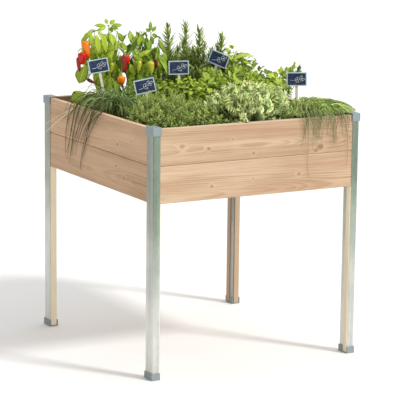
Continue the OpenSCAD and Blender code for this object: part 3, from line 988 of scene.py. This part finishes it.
def grow_rosemary():
    """Upright spikes set all round with needles, with short side twigs."""
    matters = herb_matters("rosemary", ((0.085, 0.18, 0.020), (0.70, 0.84, 0.26)),
                           ((0.20, 0.18, 0.09), (0.32, 0.32, 0.16)), gloss=0.55)
    plant = Plant(26)
    random = plant.random
    low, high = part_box("rosemary")
    tall = high.z - SOIL_Z
    mid = np.array([(low.x + high.x) / 2, (low.y + high.y) / 2])
    half = np.array([(high.x - low.x) / 2, (high.y - low.y) / 2])
    # Spikes: place across and back as shares of the half sizes, and share of the height
    spikes = [(-0.90, -0.18, 0.97), (-0.15, -0.18, 0.975), (0.42, -0.18, 0.915), (0.70, -0.50, 0.66),
              (0.84, -0.80, 0.86), (-0.60, -0.60, 0.50), (-0.05, -0.75, 0.45), (0.45, -0.62, 0.55),
              (-0.45, 0.45, 0.60), (0.20, 0.60, 0.66), (0.62, 0.42, 0.58), (-0.72, 0.80, 0.52),
              (0.34, 0.90, 0.56), (-0.15, 0.22, 0.55), (0.85, 0.85, 0.50)]
    form = leaf_form(4, 2, lambda a: (0.45, 1.0, 0.9, 0.15)[int(round(a * 3))])

    def clothe(curve, count, long, first, tip_lean):
        """Needles all round a shoot from first to its tip, where they close up by tip_lean."""
        u = np.linspace(first, 1.0, count)
        lean = 0.88 - tip_lean * np.clip((u - 0.85) / 0.15, 0, 1)
        base, forward, face = leaf_row(plant, curve, u, random.uniform(0, 6), GOLDEN, lean, 0.3)
        size = random.uniform(*long, count) * (1 - 0.35 * np.clip((u - 0.85) / 0.15, 0, 1))
        plant.leaves(form, base, forward, face, size, 0.0054, bend=random.uniform(-0.8, 0.2, count),
                     fold=-0.4, tint=random.uniform(0, 1, count) * (0.55 + 0.45 * u), thick=0.0006)

    for x, y, share in spikes:
        tip = np.array([*(mid + (x, y) * half), SOIL_Z + share * tall])
        foot = np.array([*(mid + 0.5 * (tip[:2] - mid)), SOIL_Z - 0.005])
        bow = random.normal(0, 0.010, 3) * FLAT
        curve = path(foot, foot + (tip - foot) * (0.1, 0.1, 0.4) + bow,
                     tip - (0, 0, 0.45 * share * tall) - bow, tip)
        plant.tubes(curve, 0.0026, 0.7, rings=10, slot=STEM)
        clothe(curve, int(170 * share), (0.027, 0.041), 0.10, 0.30)
        for _ in range(int(11 * share)):
            start = bezier(curve, np.array([random.uniform(0.12, 0.62)]))[0]
            out = unit(random.normal(0, 1, 3) * FLAT) * random.uniform(0.014, 0.032)
            rise = UP * random.uniform(0.04, 0.085)
            twig = path(start, start + out * 0.7, start + out + rise * 0.5, start + out * 1.1 + rise)
            plant.tubes(twig, 0.0013, 0.6, sides=4, rings=5, slot=STEM)
            clothe(twig, 40, (0.014, 0.023), 0.15, 0.4)
    plant.build("rosemary_plant", "rosemary", matters)


def tuft(count):
    """Places spread evenly over a round tuft: the distance from its middle, 0 to 1, and the way."""
    angle = np.arange(count) * GOLDEN
    r = np.sqrt((np.arange(count) + 0.5) / count)
    return r, np.stack([np.cos(angle), np.sin(angle), 0 * angle], -1)


def blade_taper(a):
    """A blade keeps its width for most of its length."""
    return 1 - 0.8 * a ** 2


def fall_over(plant, feet, lip, end, radius, tint, axis, slot=0, bow=0.006):
    """Blades that rise from the soil, cross the rim at lip and hang down outside it to end. bow
    is how far they curve along the board."""
    n = len(feet)
    random = plant.random
    away = np.zeros(3)
    away[axis] = np.sign(lip[0, axis])
    rise = UP * random.uniform(0.06, 0.12, n)[:, None]
    over = away * 0.72 - UP * 0.69
    shift = (lip - feet) * (0.25, 0.25, 0)
    aside = np.zeros((n, 3))
    aside[:, 1 - axis] = random.normal(0, bow, n)
    first = path(feet, feet + rise + shift, lip - over * 0.06, lip)
    second = path(lip, lip + over * 0.016, end + UP * 0.06 + aside, end)
    plant.tubes(first, radius, 0.05, rings=14, tint=tint, slot=slot)
    plant.tubes(second, radius, lambda a: 0.95 - 0.7 * a ** 2, rings=14, tint=tint, slot=slot)


def grow_left_chives():
    """A loose tuft. Long thin blades fan out over the left rim, and two of them are dry straw."""
    blade = leaf_matter("chive_left_blade", (0.028, 0.08, 0.008), (0.60, 0.82, 0.28), gloss=0.4)
    old = leaf_matter("chive_old_blade", (0.060, 0.062, 0.022), (0.15, 0.15, 0.055), gloss=0.5)
    straw = leaf_matter("chive_straw", (0.78, 0.68, 0.46), (0.90, 0.82, 0.62), gloss=0.5)
    plant = Plant(31)
    random = plant.random
    low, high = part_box("chives_left")
    rim_x = -OUTER[0]
    furthest = rim_x - 0.022    # no standing blade reaches further out than this
    mid = np.array([-INNER[0] + 0.066, (low.y + high.y) / 2, SOIL_Z])
    half = np.array([0.062, (high.y - low.y) / 2, 0])
    # Blades that stand and lean outwards, least towards the front
    count = 520
    r, out = tuft(count)
    foot = mid + out * half * (0.5 * r)[:, None]
    reach = random.uniform(0.35, 1.15, count) * (0.3 + r) * (1 - 0.5 * np.clip(out @ NEAR, 0, 1))
    tip = foot + out * half * reach[:, None] + random.normal(0, 0.023, (count, 3)) * FLAT
    tip[:, 0] = np.maximum(tip[:, 0], furthest)
    top = random.uniform(0.045, 0.106, count) * (1.1 - 0.35 * r)
    tip[:, 2] = SOIL_Z + top * random.uniform(0.15, 1.0, count) * (1.15 - 0.6 * r)
    one = foot + UP * (1.1 * top)[:, None] + random.normal(0, 0.013, (count, 3))
    two = foot + (tip - foot) * (0.75, 0.75, 0) + UP * (1.15 * top)[:, None]
    two += random.normal(0, 0.012, (count, 3)) * FLAT
    two[:, 0] = np.maximum(two[:, 0], furthest)
    plant.tubes(path(foot, one, two, tip), random.uniform(0.0009, 0.0015, count),
                blade_taper, sides=4, rings=12, tint=random.uniform(0, 1, count) ** 1.2)

    def hang(count, lips, ends, drops, slot, radius):
        """Blades over the rim: the stretches of it where they cross and where they end, and how
        far below it."""
        share = (np.arange(count) + 0.5) / count
        feet = mid + np.stack([random.uniform(-0.02, 0.02, count),
                               (share - 0.5) * 0.07 + random.normal(0, 0.008, count), 0 * share], -1)
        lip = np.stack([np.full(count, rim_x - 0.0035) - random.uniform(0, 0.006, count),
                        lips[0] + (lips[1] - lips[0]) * share + random.normal(0, 0.009, count),
                        RIM_Z + random.uniform(0.002, 0.012, count)], -1)
        end = np.stack([rim_x - random.uniform(0.0025, 0.007, count),
                        ends[0] + (ends[1] - ends[0]) * share + random.normal(0, 0.012, count),
                        RIM_Z - random.uniform(*drops, count)], -1)
        fall_over(plant, feet, lip, end, radius, random.uniform(0, 1, count), 0, slot, bow=0.022)

    hang(16, (-0.055, 0.165), (0.075, 0.235), (0.11, 0.222), 1, 0.00155)
    hang(10, (-0.05, 0.19), (0.0, 0.25), (0.03, 0.12), 0, 0.0012)
    # Two straws that stick out almost straight
    lip = np.array([(rim_x - 0.004, 0.120, RIM_Z + 0.004), (rim_x - 0.005, 0.135, RIM_Z + 0.002)])
    end = np.array([(rim_x - 0.011, 0.362, RIM_Z - 0.086), (rim_x - 0.010, 0.368, RIM_Z - 0.116)])
    span = end - lip
    straws = path(lip, lip + span * 0.3 + UP * 0.006, lip + span * 0.7 + UP * 0.004, end)
    plant.tubes(straws, 0.0017, 0.5, rings=12, tint=(0.4, 0.8), slot=2)
    plant.build("chive_tuft_left", "chives_left", [blade, old, straw])


def grow_right_chives():
    """A dense tuft combed to the right and the front, over the rim and the corner cap."""
    blade = leaf_matter("chive_right_blade", (0.035, 0.12, 0.004), (0.80, 0.98, 0.28), gloss=0.4)
    old = leaf_matter("chive_hanging_blade", (0.13, 0.16, 0.05), (0.42, 0.46, 0.20), gloss=0.5)
    plant = Plant(32)
    random = plant.random
    low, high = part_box("chives_right")
    rim_y = -OUTER[1]
    mid = np.array([low.x + 0.048, (low.y + high.y) / 2 - 0.045, SOIL_Z])
    # Blades combed to the right
    count = 620
    r, out = tuft(count)
    foot = mid + out * np.array([0.060, 0.075, 0]) * r[:, None]
    comb = np.array([0.72, -0.30, 0])
    way = unit(out * (0.55 * r)[:, None] + comb * random.uniform(0.3, 1.1, count)[:, None])
    reach = random.uniform(0.04, 0.135, count)
    tip = foot + way * reach[:, None] + random.normal(0, 0.006, (count, 3)) * FLAT
    tip[:, 0] = np.clip(tip[:, 0], low.x - 0.06, INNER[0] + 0.012)
    tip[:, 1] = np.clip(tip[:, 1], rim_y + 0.004, 0.0)
    top = random.uniform(0.040, 0.081, count)
    tip[:, 2] = SOIL_Z + 0.034 + 0.22 * top * random.uniform(0.0, 1.0, count)
    one = foot + UP * top[:, None] + way * 0.006
    two = foot + (tip - foot) * (0.62, 0.62, 0) + UP * (1.12 * top)[:, None]
    plant.tubes(path(foot, one, two, tip), random.uniform(0.0011, 0.0017, count),
                blade_taper, sides=4, rings=12, tint=random.uniform(0, 1, count))
    # Short blades that close the gap to the pale plant
    count = 260
    foot = np.stack([random.uniform(low.x - 0.075, low.x + 0.03, count),
                     random.uniform(-INNER[1] + 0.012, -INNER[1] + 0.10, count),
                     np.full(count, SOIL_Z)], -1)
    tip = foot + random.normal(0, 0.022, (count, 3)) * FLAT
    tip[:, 1] = np.clip(tip[:, 1], rim_y + 0.004, 0.0)
    tip[:, 2] = SOIL_Z + random.uniform(0.030, 0.055, count)
    middle = (foot + tip) / 2
    plant.tubes(path(foot, foot + UP * 0.02, middle + UP * 0.03, tip), 0.0010,
                lambda a: 1 - 0.85 * a ** 2, sides=4, tint=random.uniform(0, 0.9, count))
    # Thin blades that hang over the front rim
    count = 58
    share = (np.arange(count) + 0.5) / count
    lip_x = 0.163 + 0.160 * share + random.normal(0, 0.010, count)
    # Bunched: three denser strands with lighter stretches between them
    bunch = 0.5 + 0.5 * np.sin(share * 19.0 + 0.6)
    drop = 0.030 + 0.075 * bunch * random.uniform(0.4, 1.0, count)
    drop[[4, 9, 52]] = (0.190, 0.115, 0.165)    # three long ones
    feet = np.stack([lip_x * 0.6 + mid[0] * 0.4, np.full(count, mid[1] - 0.04), np.full(count, SOIL_Z)], -1)
    lip = np.stack([lip_x, rim_y - 0.0032 - random.uniform(0, 0.004, count),
                    RIM_Z + random.uniform(0.001, 0.008, count)], -1)
    end = np.stack([lip_x + random.normal(0.002, 0.010, count), rim_y - random.uniform(0.002, 0.006, count),
                    RIM_Z - drop], -1)
    fall_over(plant, feet, lip, end, 0.0009, random.uniform(0, 1, count), 1, 1)
    plant.build("chive_tuft_right", "chives_right", [blade, old])


def hang_fruit(plant, start, neck, length, radius, swing, slot, tint):
    """A pepper on a bent stalk from start to its neck, with a calyx and a tapered, bowed body."""
    above = neck + UP * 0.012
    stalk = path(start, start + (above - start) * 0.5 + UP * 0.008, above, neck)
    plant.tubes(stalk, 0.0015, -0.5, rings=9, slot=STEM)
    end = neck - UP * length + swing
    body = path(neck, neck - UP * length * 0.35 - swing * 0.15,
                neck - UP * length * 0.7 + swing * 0.4, end)

    def shape(a):
        return (0.35 + 0.65 * min(1.0, a / 0.16) ** 0.5) * (1 - a ** 2.6) ** 0.5 + 0.03

    plant.tubes(body, radius, shape, sides=14, rings=20, tint=tint, slot=slot)
    cap = path(neck + UP * 0.003, neck + UP * 0.001, neck - UP * 0.001, neck - UP * 0.004)
    plant.tubes(cap, radius * 0.62, lambda a: 0.35 + 0.65 * a, sides=10, rings=4, slot=STEM)


# Pepper leaves that stand out: base and tip as (across, near, up), width and lightness
PEPPER_LEAVES = (
    # The star at the top
    ((-0.024, 0.030, 0.277), (-0.072, 0.035, 0.282), 0.014, 0.75),
    ((-0.024, 0.030, 0.278), (-0.004, 0.030, 0.300), 0.015, 0.60),
    ((-0.023, 0.030, 0.276), (0.020, 0.035, 0.284), 0.015, 0.45),
    ((-0.024, 0.030, 0.275), (-0.010, 0.040, 0.260), 0.014, 0.20),
    ((-0.026, 0.030, 0.279), (-0.036, 0.020, 0.303), 0.013, 0.70),
    ((-0.026, 0.030, 0.276), (-0.058, 0.060, 0.268), 0.013, 0.65),
    ((-0.022, 0.030, 0.276), (0.008, 0.050, 0.271), 0.013, 0.30),
    # Pale leaves that hang on the left
    ((-0.083, 0.090, 0.272), (-0.073, 0.092, 0.206), 0.021, 0.85),
    ((-0.063, 0.100, 0.269), (-0.053, 0.102, 0.191), 0.021, 1.00),
    ((-0.047, 0.090, 0.272), (-0.028, 0.092, 0.195), 0.022, 0.90),
    ((-0.098, 0.070, 0.255), (-0.113, 0.072, 0.215), 0.015, 0.70),
    ((-0.088, 0.070, 0.266), (-0.104, 0.080, 0.232), 0.017, 0.80),
    ((-0.072, 0.080, 0.272), (-0.095, 0.088, 0.245), 0.016, 0.65),
    ((-0.050, 0.060, 0.262), (-0.012, 0.070, 0.225), 0.017, 0.55),
    # The yellow-green mass in the middle
    ((0.008, 0.060, 0.220), (-0.044, 0.080, 0.196), 0.021, 0.95),
    ((0.004, 0.080, 0.208), (-0.036, 0.085, 0.168), 0.023, 0.85),
    ((-0.015, 0.085, 0.202), (-0.020, 0.090, 0.155), 0.021, 0.80),
    ((-0.035, 0.080, 0.218), (-0.060, 0.085, 0.186), 0.019, 0.75),
    ((-0.062, 0.078, 0.203), (-0.054, 0.083, 0.166), 0.019, 0.15),
    ((-0.046, 0.082, 0.197), (-0.034, 0.088, 0.160), 0.017, 0.25),
    ((0.010, 0.055, 0.232), (0.040, 0.060, 0.200), 0.018, 0.60),
    # Darker leaves on the right, some of them upright
    ((0.006, 0.050, 0.263), (0.028, 0.050, 0.224), 0.018, 0.40),
    ((0.063, 0.050, 0.205), (0.047, 0.050, 0.265), 0.019, 0.20),
    ((0.060, 0.045, 0.210), (0.072, 0.045, 0.252), 0.015, 0.35),
    ((0.078, 0.030, 0.257), (0.083, 0.032, 0.202), 0.019, 0.15),
    ((0.080, 0.030, 0.257), (0.097, 0.036, 0.218), 0.016, 0.30),
    ((0.102, 0.020, 0.252), (0.104, 0.022, 0.196), 0.019, 0.10),
    ((0.116, 0.000, 0.250), (0.115, 0.000, 0.292), 0.013, 0.30),
    ((0.116, 0.000, 0.250), (0.141, 0.000, 0.240), 0.014, 0.25),
    ((0.116, 0.000, 0.252), (0.100, 0.000, 0.268), 0.012, 0.35),
    ((0.118, 0.000, 0.252), (0.134, 0.000, 0.276), 0.012, 0.35),
    ((0.117, 0.000, 0.249), (0.125, 0.010, 0.216), 0.014, 0.20),
    ((0.138, -0.020, 0.236), (0.163, -0.018, 0.188), 0.019, 0.50),
    ((0.135, 0.020, 0.191), (0.174, 0.022, 0.133), 0.022, 0.55),
    ((0.136, 0.060, 0.207), (0.056, 0.080, 0.178), 0.017, 0.95),
    ((0.050, 0.070, 0.192), (0.096, 0.072, 0.168), 0.017, 0.75),
    # Lower leaves
    ((0.046, 0.070, 0.165), (0.066, 0.074, 0.113), 0.023, 0.70),
    ((0.068, 0.070, 0.176), (0.076, 0.076, 0.133), 0.019, 0.60),
    ((0.102, 0.050, 0.165), (0.086, 0.056, 0.113), 0.019, 0.50),
    ((0.046, 0.085, 0.094), (0.053, 0.090, 0.036), 0.024, 0.85),
    ((0.026, 0.085, 0.078), (0.042, 0.092, 0.028), 0.021, 0.40),
    ((-0.012, 0.080, 0.122), (-0.022, 0.086, 0.078), 0.019, 0.60),
    ((-0.004, 0.070, 0.172), (0.000, 0.072, 0.118), 0.019, 0.45),
    ((-0.040, 0.080, 0.120), (-0.030, 0.084, 0.076), 0.018, 0.20),
    ((-0.093, 0.090, 0.163), (-0.124, 0.092, 0.088), 0.046, 0.50),
    ((-0.092, 0.096, 0.070), (-0.140, 0.102, 0.022), 0.058, 0.50))
# Fruit: neck as (across, near, up), length, radius, how far the tip swings across, colour
PEPPER_FRUIT = (
    ((-0.098, 0.084, 0.232), 0.056, 0.0140, 0.010, "orange"),
    ((-0.109, 0.096, 0.196), 0.042, 0.0145, 0.000, "red"),
    ((-0.121, 0.098, 0.180), 0.050, 0.0075, 0.004, "dark"),
    ((-0.088, 0.080, 0.106), 0.014, 0.0065, 0.022, "dark"),
    ((-0.010, 0.094, 0.162), 0.034, 0.0080, -0.006, "green"),
    ((0.032, 0.098, 0.192), 0.066, 0.0090, 0.003, "dark"),
    ((0.042, 0.094, 0.186), 0.030, 0.0085, 0.000, "red"),
    ((0.022, 0.106, 0.119), 0.030, 0.0140, 0.000, "orange"),
    ((0.118, 0.068, 0.166), 0.044, 0.0125, 0.002, "green"),
    ((0.135, 0.052, 0.172), 0.034, 0.0070, 0.000, "dark"),
    ((0.081, 0.080, 0.168), 0.038, 0.0080, -0.004, "green"),
    ((-0.060, -0.075, 0.205), 0.055, 0.0100, 0.004, "red"),
    ((0.020, -0.085, 0.150), 0.045, 0.0130, 0.000, "orange"),
    ((0.090, -0.070, 0.190), 0.060, 0.0090, 0.003, "green"),
    ((0.055, -0.065, 0.120), 0.040, 0.0120, 0.000, "red"),
    ((-0.105, -0.035, 0.165), 0.052, 0.0090, 0.000, "green"))
# Deep and bright skin, and the tip's
FRUIT_COLOURS = {
    "red": ((0.40, 0.005, 0.003), (0.82, 0.010, 0.006), (0.60, 0.008, 0.005)),
    "orange": ((0.86, 0.12, 0.002), (0.96, 0.26, 0.004), (0.82, 0.05, 0.003)),
    "green": ((0.34, 0.42, 0.02), (0.64, 0.65, 0.05), (0.62, 0.60, 0.06)),
    "dark": ((0.10, 0.010, 0.008), (0.34, 0.020, 0.014), (0.20, 0.01, 0.01)),
}
# Tips of the shoots as (across, near, up), and how light their leaves are
PEPPER_SHOOTS = (
    ((-0.024, 0.030, 0.277), 0.35), ((-0.070, 0.070, 0.262), 0.40), ((0.050, 0.040, 0.258), 0.0),
    ((0.085, 0.025, 0.256), -0.05), ((0.117, 0.000, 0.252), -0.05), ((0.145, -0.015, 0.232), 0.10),
    ((0.010, 0.060, 0.232), 0.30), ((-0.095, 0.050, 0.225), 0.30), ((0.140, 0.025, 0.185), 0.20),
    ((0.080, 0.070, 0.195), 0.35), ((-0.030, 0.075, 0.200), 0.25), ((0.030, 0.075, 0.160), 0.25),
    ((0.110, 0.050, 0.140), 0.10), ((0.060, 0.070, 0.110), 0.15), ((0.000, 0.070, 0.105), 0.10),
    ((0.090, 0.000, 0.120), 0.0), ((0.135, 0.010, 0.110), 0.05), ((0.000, -0.060, 0.248), 0.20),
    ((-0.065, -0.045, 0.232), 0.30), ((0.065, -0.055, 0.250), 0.05), ((0.020, -0.100, 0.195), 0.15),
    ((-0.095, -0.015, 0.195), 0.25), ((0.120, -0.060, 0.215), 0.05), ((-0.030, -0.060, 0.120), 0.05),
    ((0.050, -0.090, 0.130), 0.05), ((0.080, -0.085, 0.180), 0.10), ((-0.060, -0.080, 0.165), 0.20),
    ((0.010, 0.000, 0.190), 0.05), ((0.060, 0.010, 0.200), 0.0), ((-0.045, 0.010, 0.180), 0.15))


def grow_pepper():
    """Two pepper plants: forked shoots, leaves that hang from stalks, and fruit among them."""
    matters = herb_matters("pepper", ((0.066, 0.18, 0.008), (0.581, 0.74, 0.055), (0.528, 0.7, 0.14)),
                           ((0.20, 0.34, 0.05), (0.42, 0.52, 0.12)), gloss=0.35, ribs=6.0)
    matters += [fruit_matter("pepper_" + kind, *colours) for kind, colours in FRUIT_COLOURS.items()]
    plant = Plant(27)
    random = plant.random
    low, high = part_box("pepper_plant")
    mid = np.array([(low.x + high.x) / 2, (low.y + high.y) / 2, SOIL_Z])
    form = leaf_form(12, 4, oval(0.75, 1.0, stalk=0.2))
    feet = (-0.030, 0.020, 0.0), (0.080, 0.0, 0.0)
    forks = []
    for foot in feet:
        bottom = spot(mid, foot) - UP * 0.005
        fork = spot(mid, foot) + UP * 0.065
        trunk = path(bottom, bottom + UP * 0.02, fork - UP * 0.02, fork)
        plant.tubes(trunk, 0.0050, 0.3, sides=8, rings=6, slot=STEM)
        forks.append(fork)
    branches = []
    for k, (tip, shade) in enumerate(PEPPER_SHOOTS):
        tip = spot(mid, tip)
        fork = min(forks, key=lambda q: np.linalg.norm(q - tip))
        curve = path(fork, fork + (tip - fork) * (0.45, 0.45, 0.30),
                     tip - (tip - fork) * (0.15, 0.15, 0.35), tip)
        branches.append(curve)
        plant.tubes(curve, 0.0027, 0.6, slot=STEM)
        count = 5 + int(np.linalg.norm(tip - fork) / 0.017)
        u = np.linspace(0.22, 1.0, count)
        base, outward, _ = leaf_row(plant, curve, u, k * 2.0, GOLDEN, math.pi / 2, 0.3)
        outward = unit(outward * (1, 1, 0.2))
        stalk = random.uniform(0.012, 0.026, count)[:, None] * (1.15 - 0.7 * u[:, None])
        start = base + outward * stalk * 0.8 + UP * stalk * 0.6
        hang = random.uniform(0.3, 1.7, count)[:, None] * (1.0 - 0.75 * (u[:, None] > 0.93))
        forward = unit(outward * 0.75 - UP * hang)
        long = random.uniform(0.046, 0.074, count) * (1 - 0.3 * (u > 0.93))
        local = (start + forward * long[:, None] * 0.5 - mid) @ np.stack([ACROSS, NEAR, UP]).T
        free = ~((local[:, 0] < -0.070) & (local[:, 2] < 0.115))
        for neck, length, radius, _, _ in PEPPER_FRUIT:
            beside = np.abs(local[:, 0] - neck[0]) > radius + 0.010
            above = np.abs(local[:, 2] - neck[2] + length / 2) > length / 2 + 0.024
            free &= beside | above | (local[:, 1] * np.sign(neck[1]) < abs(neck[1]) - 0.035)
        stalks = path(base, base + UP * 0.003, start - outward * 0.003, start)[free]
        plant.tubes(stalks, 0.0008, 0.2, sides=4, rings=4, slot=STEM)
        width, bend = long * random.uniform(0.30, 0.40, count), random.uniform(0.2, 1.1, count)
        fold = random.uniform(0.05, 0.5, count)
        tint = np.clip(0.10 + shade + 0.5 * random.random(count), 0, 1)
        face = outward * 0.8 + UP * 0.6
        plant.leaves(form, start[free], forward[free], face[free], long[free], width[free],
                     bend[free], fold[free], wave=0.12, waves=1.5, tint=tint[free])
    along = np.array([0.3, 0.5, 0.7, 0.85, 1.0])
    nodes = np.concatenate([bezier(curve, along) for curve in branches])
    for base, tip, wide, tint in PEPPER_LEAVES:
        start, end = spot(mid, base), spot(mid, tip)
        near = nodes[np.argmin(np.linalg.norm(nodes - start, axis=1))]
        twig = path(near, near + (start - near) * 0.3 + UP * 0.004,
                    start - (start - near) * 0.2 + UP * 0.004, start)
        plant.tubes(twig, 0.0011, 0.2, rings=7, slot=STEM)
        plant.leaves(form, start[None], (end - start)[None], (NEAR + 0.35 * UP)[None],
                     1.04 * np.linalg.norm(end - start), wide, bend=random.uniform(0.2, 0.7),
                     fold=random.uniform(0.05, 0.3), wave=0.08, tint=tint)
    kinds = {kind: 2 + k for k, kind in enumerate(FRUIT_COLOURS)}
    for neck, length, radius, swing, kind in PEPPER_FRUIT:
        place = spot(mid, neck)
        start = nodes[np.argmin(np.linalg.norm(nodes - place - UP * 0.02, axis=1))]
        hang_fruit(plant, start, place, length, radius, ACROSS * swing, kinds[kind], random.uniform(0.2, 0.8))
    plant.build("pepper_plants", "pepper_plant", matters)


def plant_up():
    grow_pepper()
    grow_rosemary()
    grow_mint()
    grow_parsley()
    grow_basil()
    grow_oregano()
    grow_thyme()
    grow_pale()
    grow_left_chives()
    grow_right_chives()


# ---------------------------------------------------------------- name tags

def framed_board(place, w, h, t, rim, lip):
    """A plate with a raised frame: half sizes w, h and t, the frame's width, and its height."""
    made = bmesh.new()
    turns = ((-1, -1), (1, -1), (1, 1), (-1, 1))
    loops = [[made.verts.new(place(x * (w - inset), y * (h - inset), level)) for x, y in turns]
             for inset, level in ((rim, -t), (0, -t), (0, t), (rim, t), (rim, t - lip))]
    for low, high in zip(loops, loops[1:]):
        for k in range(4):
            j = (k + 1) % 4
            made.faces.new((low[k], low[j], high[j], high[k])).material_index = 1
    made.faces.new(loops[0][::-1])
    made.faces.new(loops[-1])
    bmesh.ops.recalc_face_normals(made, faces=made.faces)
    return made


def make_tags():
    face_matter = slate_face()
    border = painted("tag_border", (0.50, 0.62, 0.70), (0.66, 0.76, 0.82), 0.55)
    chalk = painted("tag_chalk", (0.70, 0.74, 0.76), (0.92, 0.94, 0.94), 0.9, 1500.0)
    lath = wood("tag_lath", "Z", (0.95, 0.90, 0.78), (0.82, 0.74, 0.58), seed=4.0, ring=0.003)
    for number in range(1, 6):
        middle, across, up, out, size = tag_frame(number)
        w, h, t = (v / 2 for v in size)

        def place(x, y, z):
            return middle + across * x + up * y + out * z

        rim = 0.0034
        lip = 0.0006
        made = framed_board(place, w, h, t, rim, lip)
        mesh = bpy.data.meshes.new(f"tag_{number}_board")
        made.to_mesh(mesh)
        made.free()
        board = make_object(f"tag_{number}_board", mesh, f"tag_plate_{number}",
                            [face_matter, border])
        edges = board.modifiers.new("edges", "BEVEL")
        edges.width = 0.0002
        edges.segments = 2
        draw_sprig(number, place, w, h, t - lip, chalk)
        dress(f"tag_stick_{number}", lath, bevel=0.0005)


def draw_sprig(number, place, w, h, level, chalk):
    """A chalk sprig: a curved stem with open leaves, a little different on each tag."""
    plant = Plant(60 + number, grown=False)
    random = plant.random
    lean = random.uniform(-0.2, 0.2)
    stem = [(-0.66, -0.30 - lean), (-0.15, -0.35), (0.2, 0.1), (0.48, 0.2 + lean)]
    flat = np.array([[x * w, y * h, 0.0] for x, y in stem])
    lines = [flat]
    u = np.array([0.40, 0.78])
    base, way = bezier(flat, u), bezier_way(flat, u)
    side = np.stack([-way[:, 1], way[:, 0], np.zeros(len(u))], -1)
    leaves = [(base[k], unit(way[k] * 0.75 + side[k] * sign * 0.65), 0.58 * h * random.uniform(0.85, 1.1))
              for k in range(len(u)) for sign in (-1, 1)]
    leaves.append((flat[3], unit(flat[3] - flat[2]), 0.5 * h))
    for start, forward, long in leaves:
        tip = start + forward * long
        bulge = np.array([-forward[1], forward[0], 0.0]) * long * 0.34
        for sign in (-1, 1):
            lines.append(path(start, start + forward * long * 0.3 + bulge * sign,
                              start + forward * long * 0.7 + bulge * sign, tip))
    chain = np.array(lines)
    steps = np.linspace(0, 1, 9)
    middle = bezier(chain, steps)
    way = bezier_way(chain, steps)
    side = np.stack([-way[..., 1], way[..., 0], np.zeros(way.shape[:2])], -1)
    half = 0.00055 * random.uniform(0.7, 1.2, middle.shape[:2])[..., None]
    rows = []
    for lift, sign in ((0.0, 1), (0.00018, 1), (0.00018, -1), (0.0, -1)):
        row = middle + sign * side * half
        row[..., 2] = level - 0.00005 + lift
        rows.append(row)
    local = np.stack(rows, 2).reshape(len(chain), -1, 3)
    world = np.array([[place(*p) for p in line] for line in local])
    plant.put(world, tube_quads(len(steps), 4), np.zeros(world.shape[1]), np.zeros(world.shape[1]),
              np.zeros(len(chain)), 0)
    plant.build(f"tag_{number}_chalk", f"tag_plate_{number}", [chalk], replaces=False)


# ---------------------------------------------------------------- studio

# Where the camera stands, in metres, its lens in millimetres, and its turn to the right, down and
# on its own axis, in degrees
CAMERA_PLACE = (-3.1759, -5.7193, 1.7455)
CAMERA_LENS = 179.3
CAMERA_TURNS = (29.137, 10.991, 0.661)


def studio():
    """A pale floor, soft light from above and the right, and the camera at the front left."""
    scene = bpy.context.scene
    scene.view_settings.view_transform = "Standard"
    world = bpy.data.worlds.new("studio")
    world.use_nodes = True
    nodes, links = world.node_tree.nodes, world.node_tree.links
    # Soft light all round, dimmer from the left, in front of a white backdrop
    way = nodes.new("ShaderNodeTexCoord")
    parts = nodes.new("ShaderNodeSeparateXYZ")
    links.new(way.outputs["Generated"], parts.inputs[0])
    side = nodes.new("ShaderNodeMapRange")
    side.interpolation_type = "SMOOTHSTEP"
    for socket, value in zip((1, 2, 3, 4), (-0.75, 0.45, 0.50, 1.05)):
        side.inputs[socket].default_value = value
    links.new(parts.outputs[0], side.inputs[0])
    light = nodes["Background"]
    light.inputs[0].default_value = (1.0, 1.0, 1.0, 1.0)
    links.new(side.outputs[0], light.inputs[1])
    backdrop = nodes.new("ShaderNodeBackground")
    backdrop.inputs[0].default_value = (1.0, 1.0, 1.0, 1.0)
    seen = nodes.new("ShaderNodeLightPath")
    choice = nodes.new("ShaderNodeMixShader")
    links.new(seen.outputs["Is Camera Ray"], choice.inputs[0])
    links.new(light.outputs[0], choice.inputs[1])
    links.new(backdrop.outputs[0], choice.inputs[2])
    links.new(choice.outputs[0], nodes["World Output"].inputs[0])
    scene.world = world
    mesh = bpy.data.meshes.new("floor")
    reach = 40.0
    mesh.from_pydata([(-reach, -reach, 0), (reach, -reach, 0), (reach, reach, 0), (-reach, reach, 0)],
                     [], [(0, 1, 2, 3)])
    floor = bpy.data.objects.new("floor", mesh)
    scene.collection.objects.link(floor)
    floor.location.z = -0.0005
    mesh.materials.append(painted("floor_paint", (0.93, 0.93, 0.93), (0.96, 0.96, 0.96), 0.9, 3.0))
    # Soft sun from the front right, above
    sun = bpy.data.lights.new("key", "SUN")
    sun.energy = 1.9
    sun.angle = math.radians(10.0)
    sun.color = (1.0, 0.975, 0.94)
    key = bpy.data.objects.new("key", sun)
    key.rotation_euler = Vector((-0.42, 0.62, -0.68)).to_track_quat("-Z", "Y").to_euler()
    scene.collection.objects.link(key)
    lens = bpy.data.cameras.new("camera")
    lens.lens = CAMERA_LENS
    lens.sensor_width = 36.0
    lens.clip_end = 200.0
    camera = bpy.data.objects.new("camera", lens)
    yaw, pitch, roll = (math.radians(a) for a in CAMERA_TURNS)
    look = Vector((math.sin(yaw) * math.cos(pitch), math.cos(yaw) * math.cos(pitch), -math.sin(pitch)))
    right = Vector((math.cos(yaw), -math.sin(yaw), 0.0))
    up = right.cross(look)
    tilted = right * math.cos(roll) + up * math.sin(roll)
    upright = up * math.cos(roll) - right * math.sin(roll)
    turn = Matrix((tilted, upright, -look)).transposed().to_4x4()
    camera.matrix_world = Matrix.Translation(CAMERA_PLACE) @ turn
    scene.collection.objects.link(camera)
    scene.camera = camera


studio()
metalwork()
woodwork()
lay_liner()
lay_soil()
plant_up()
make_tags()
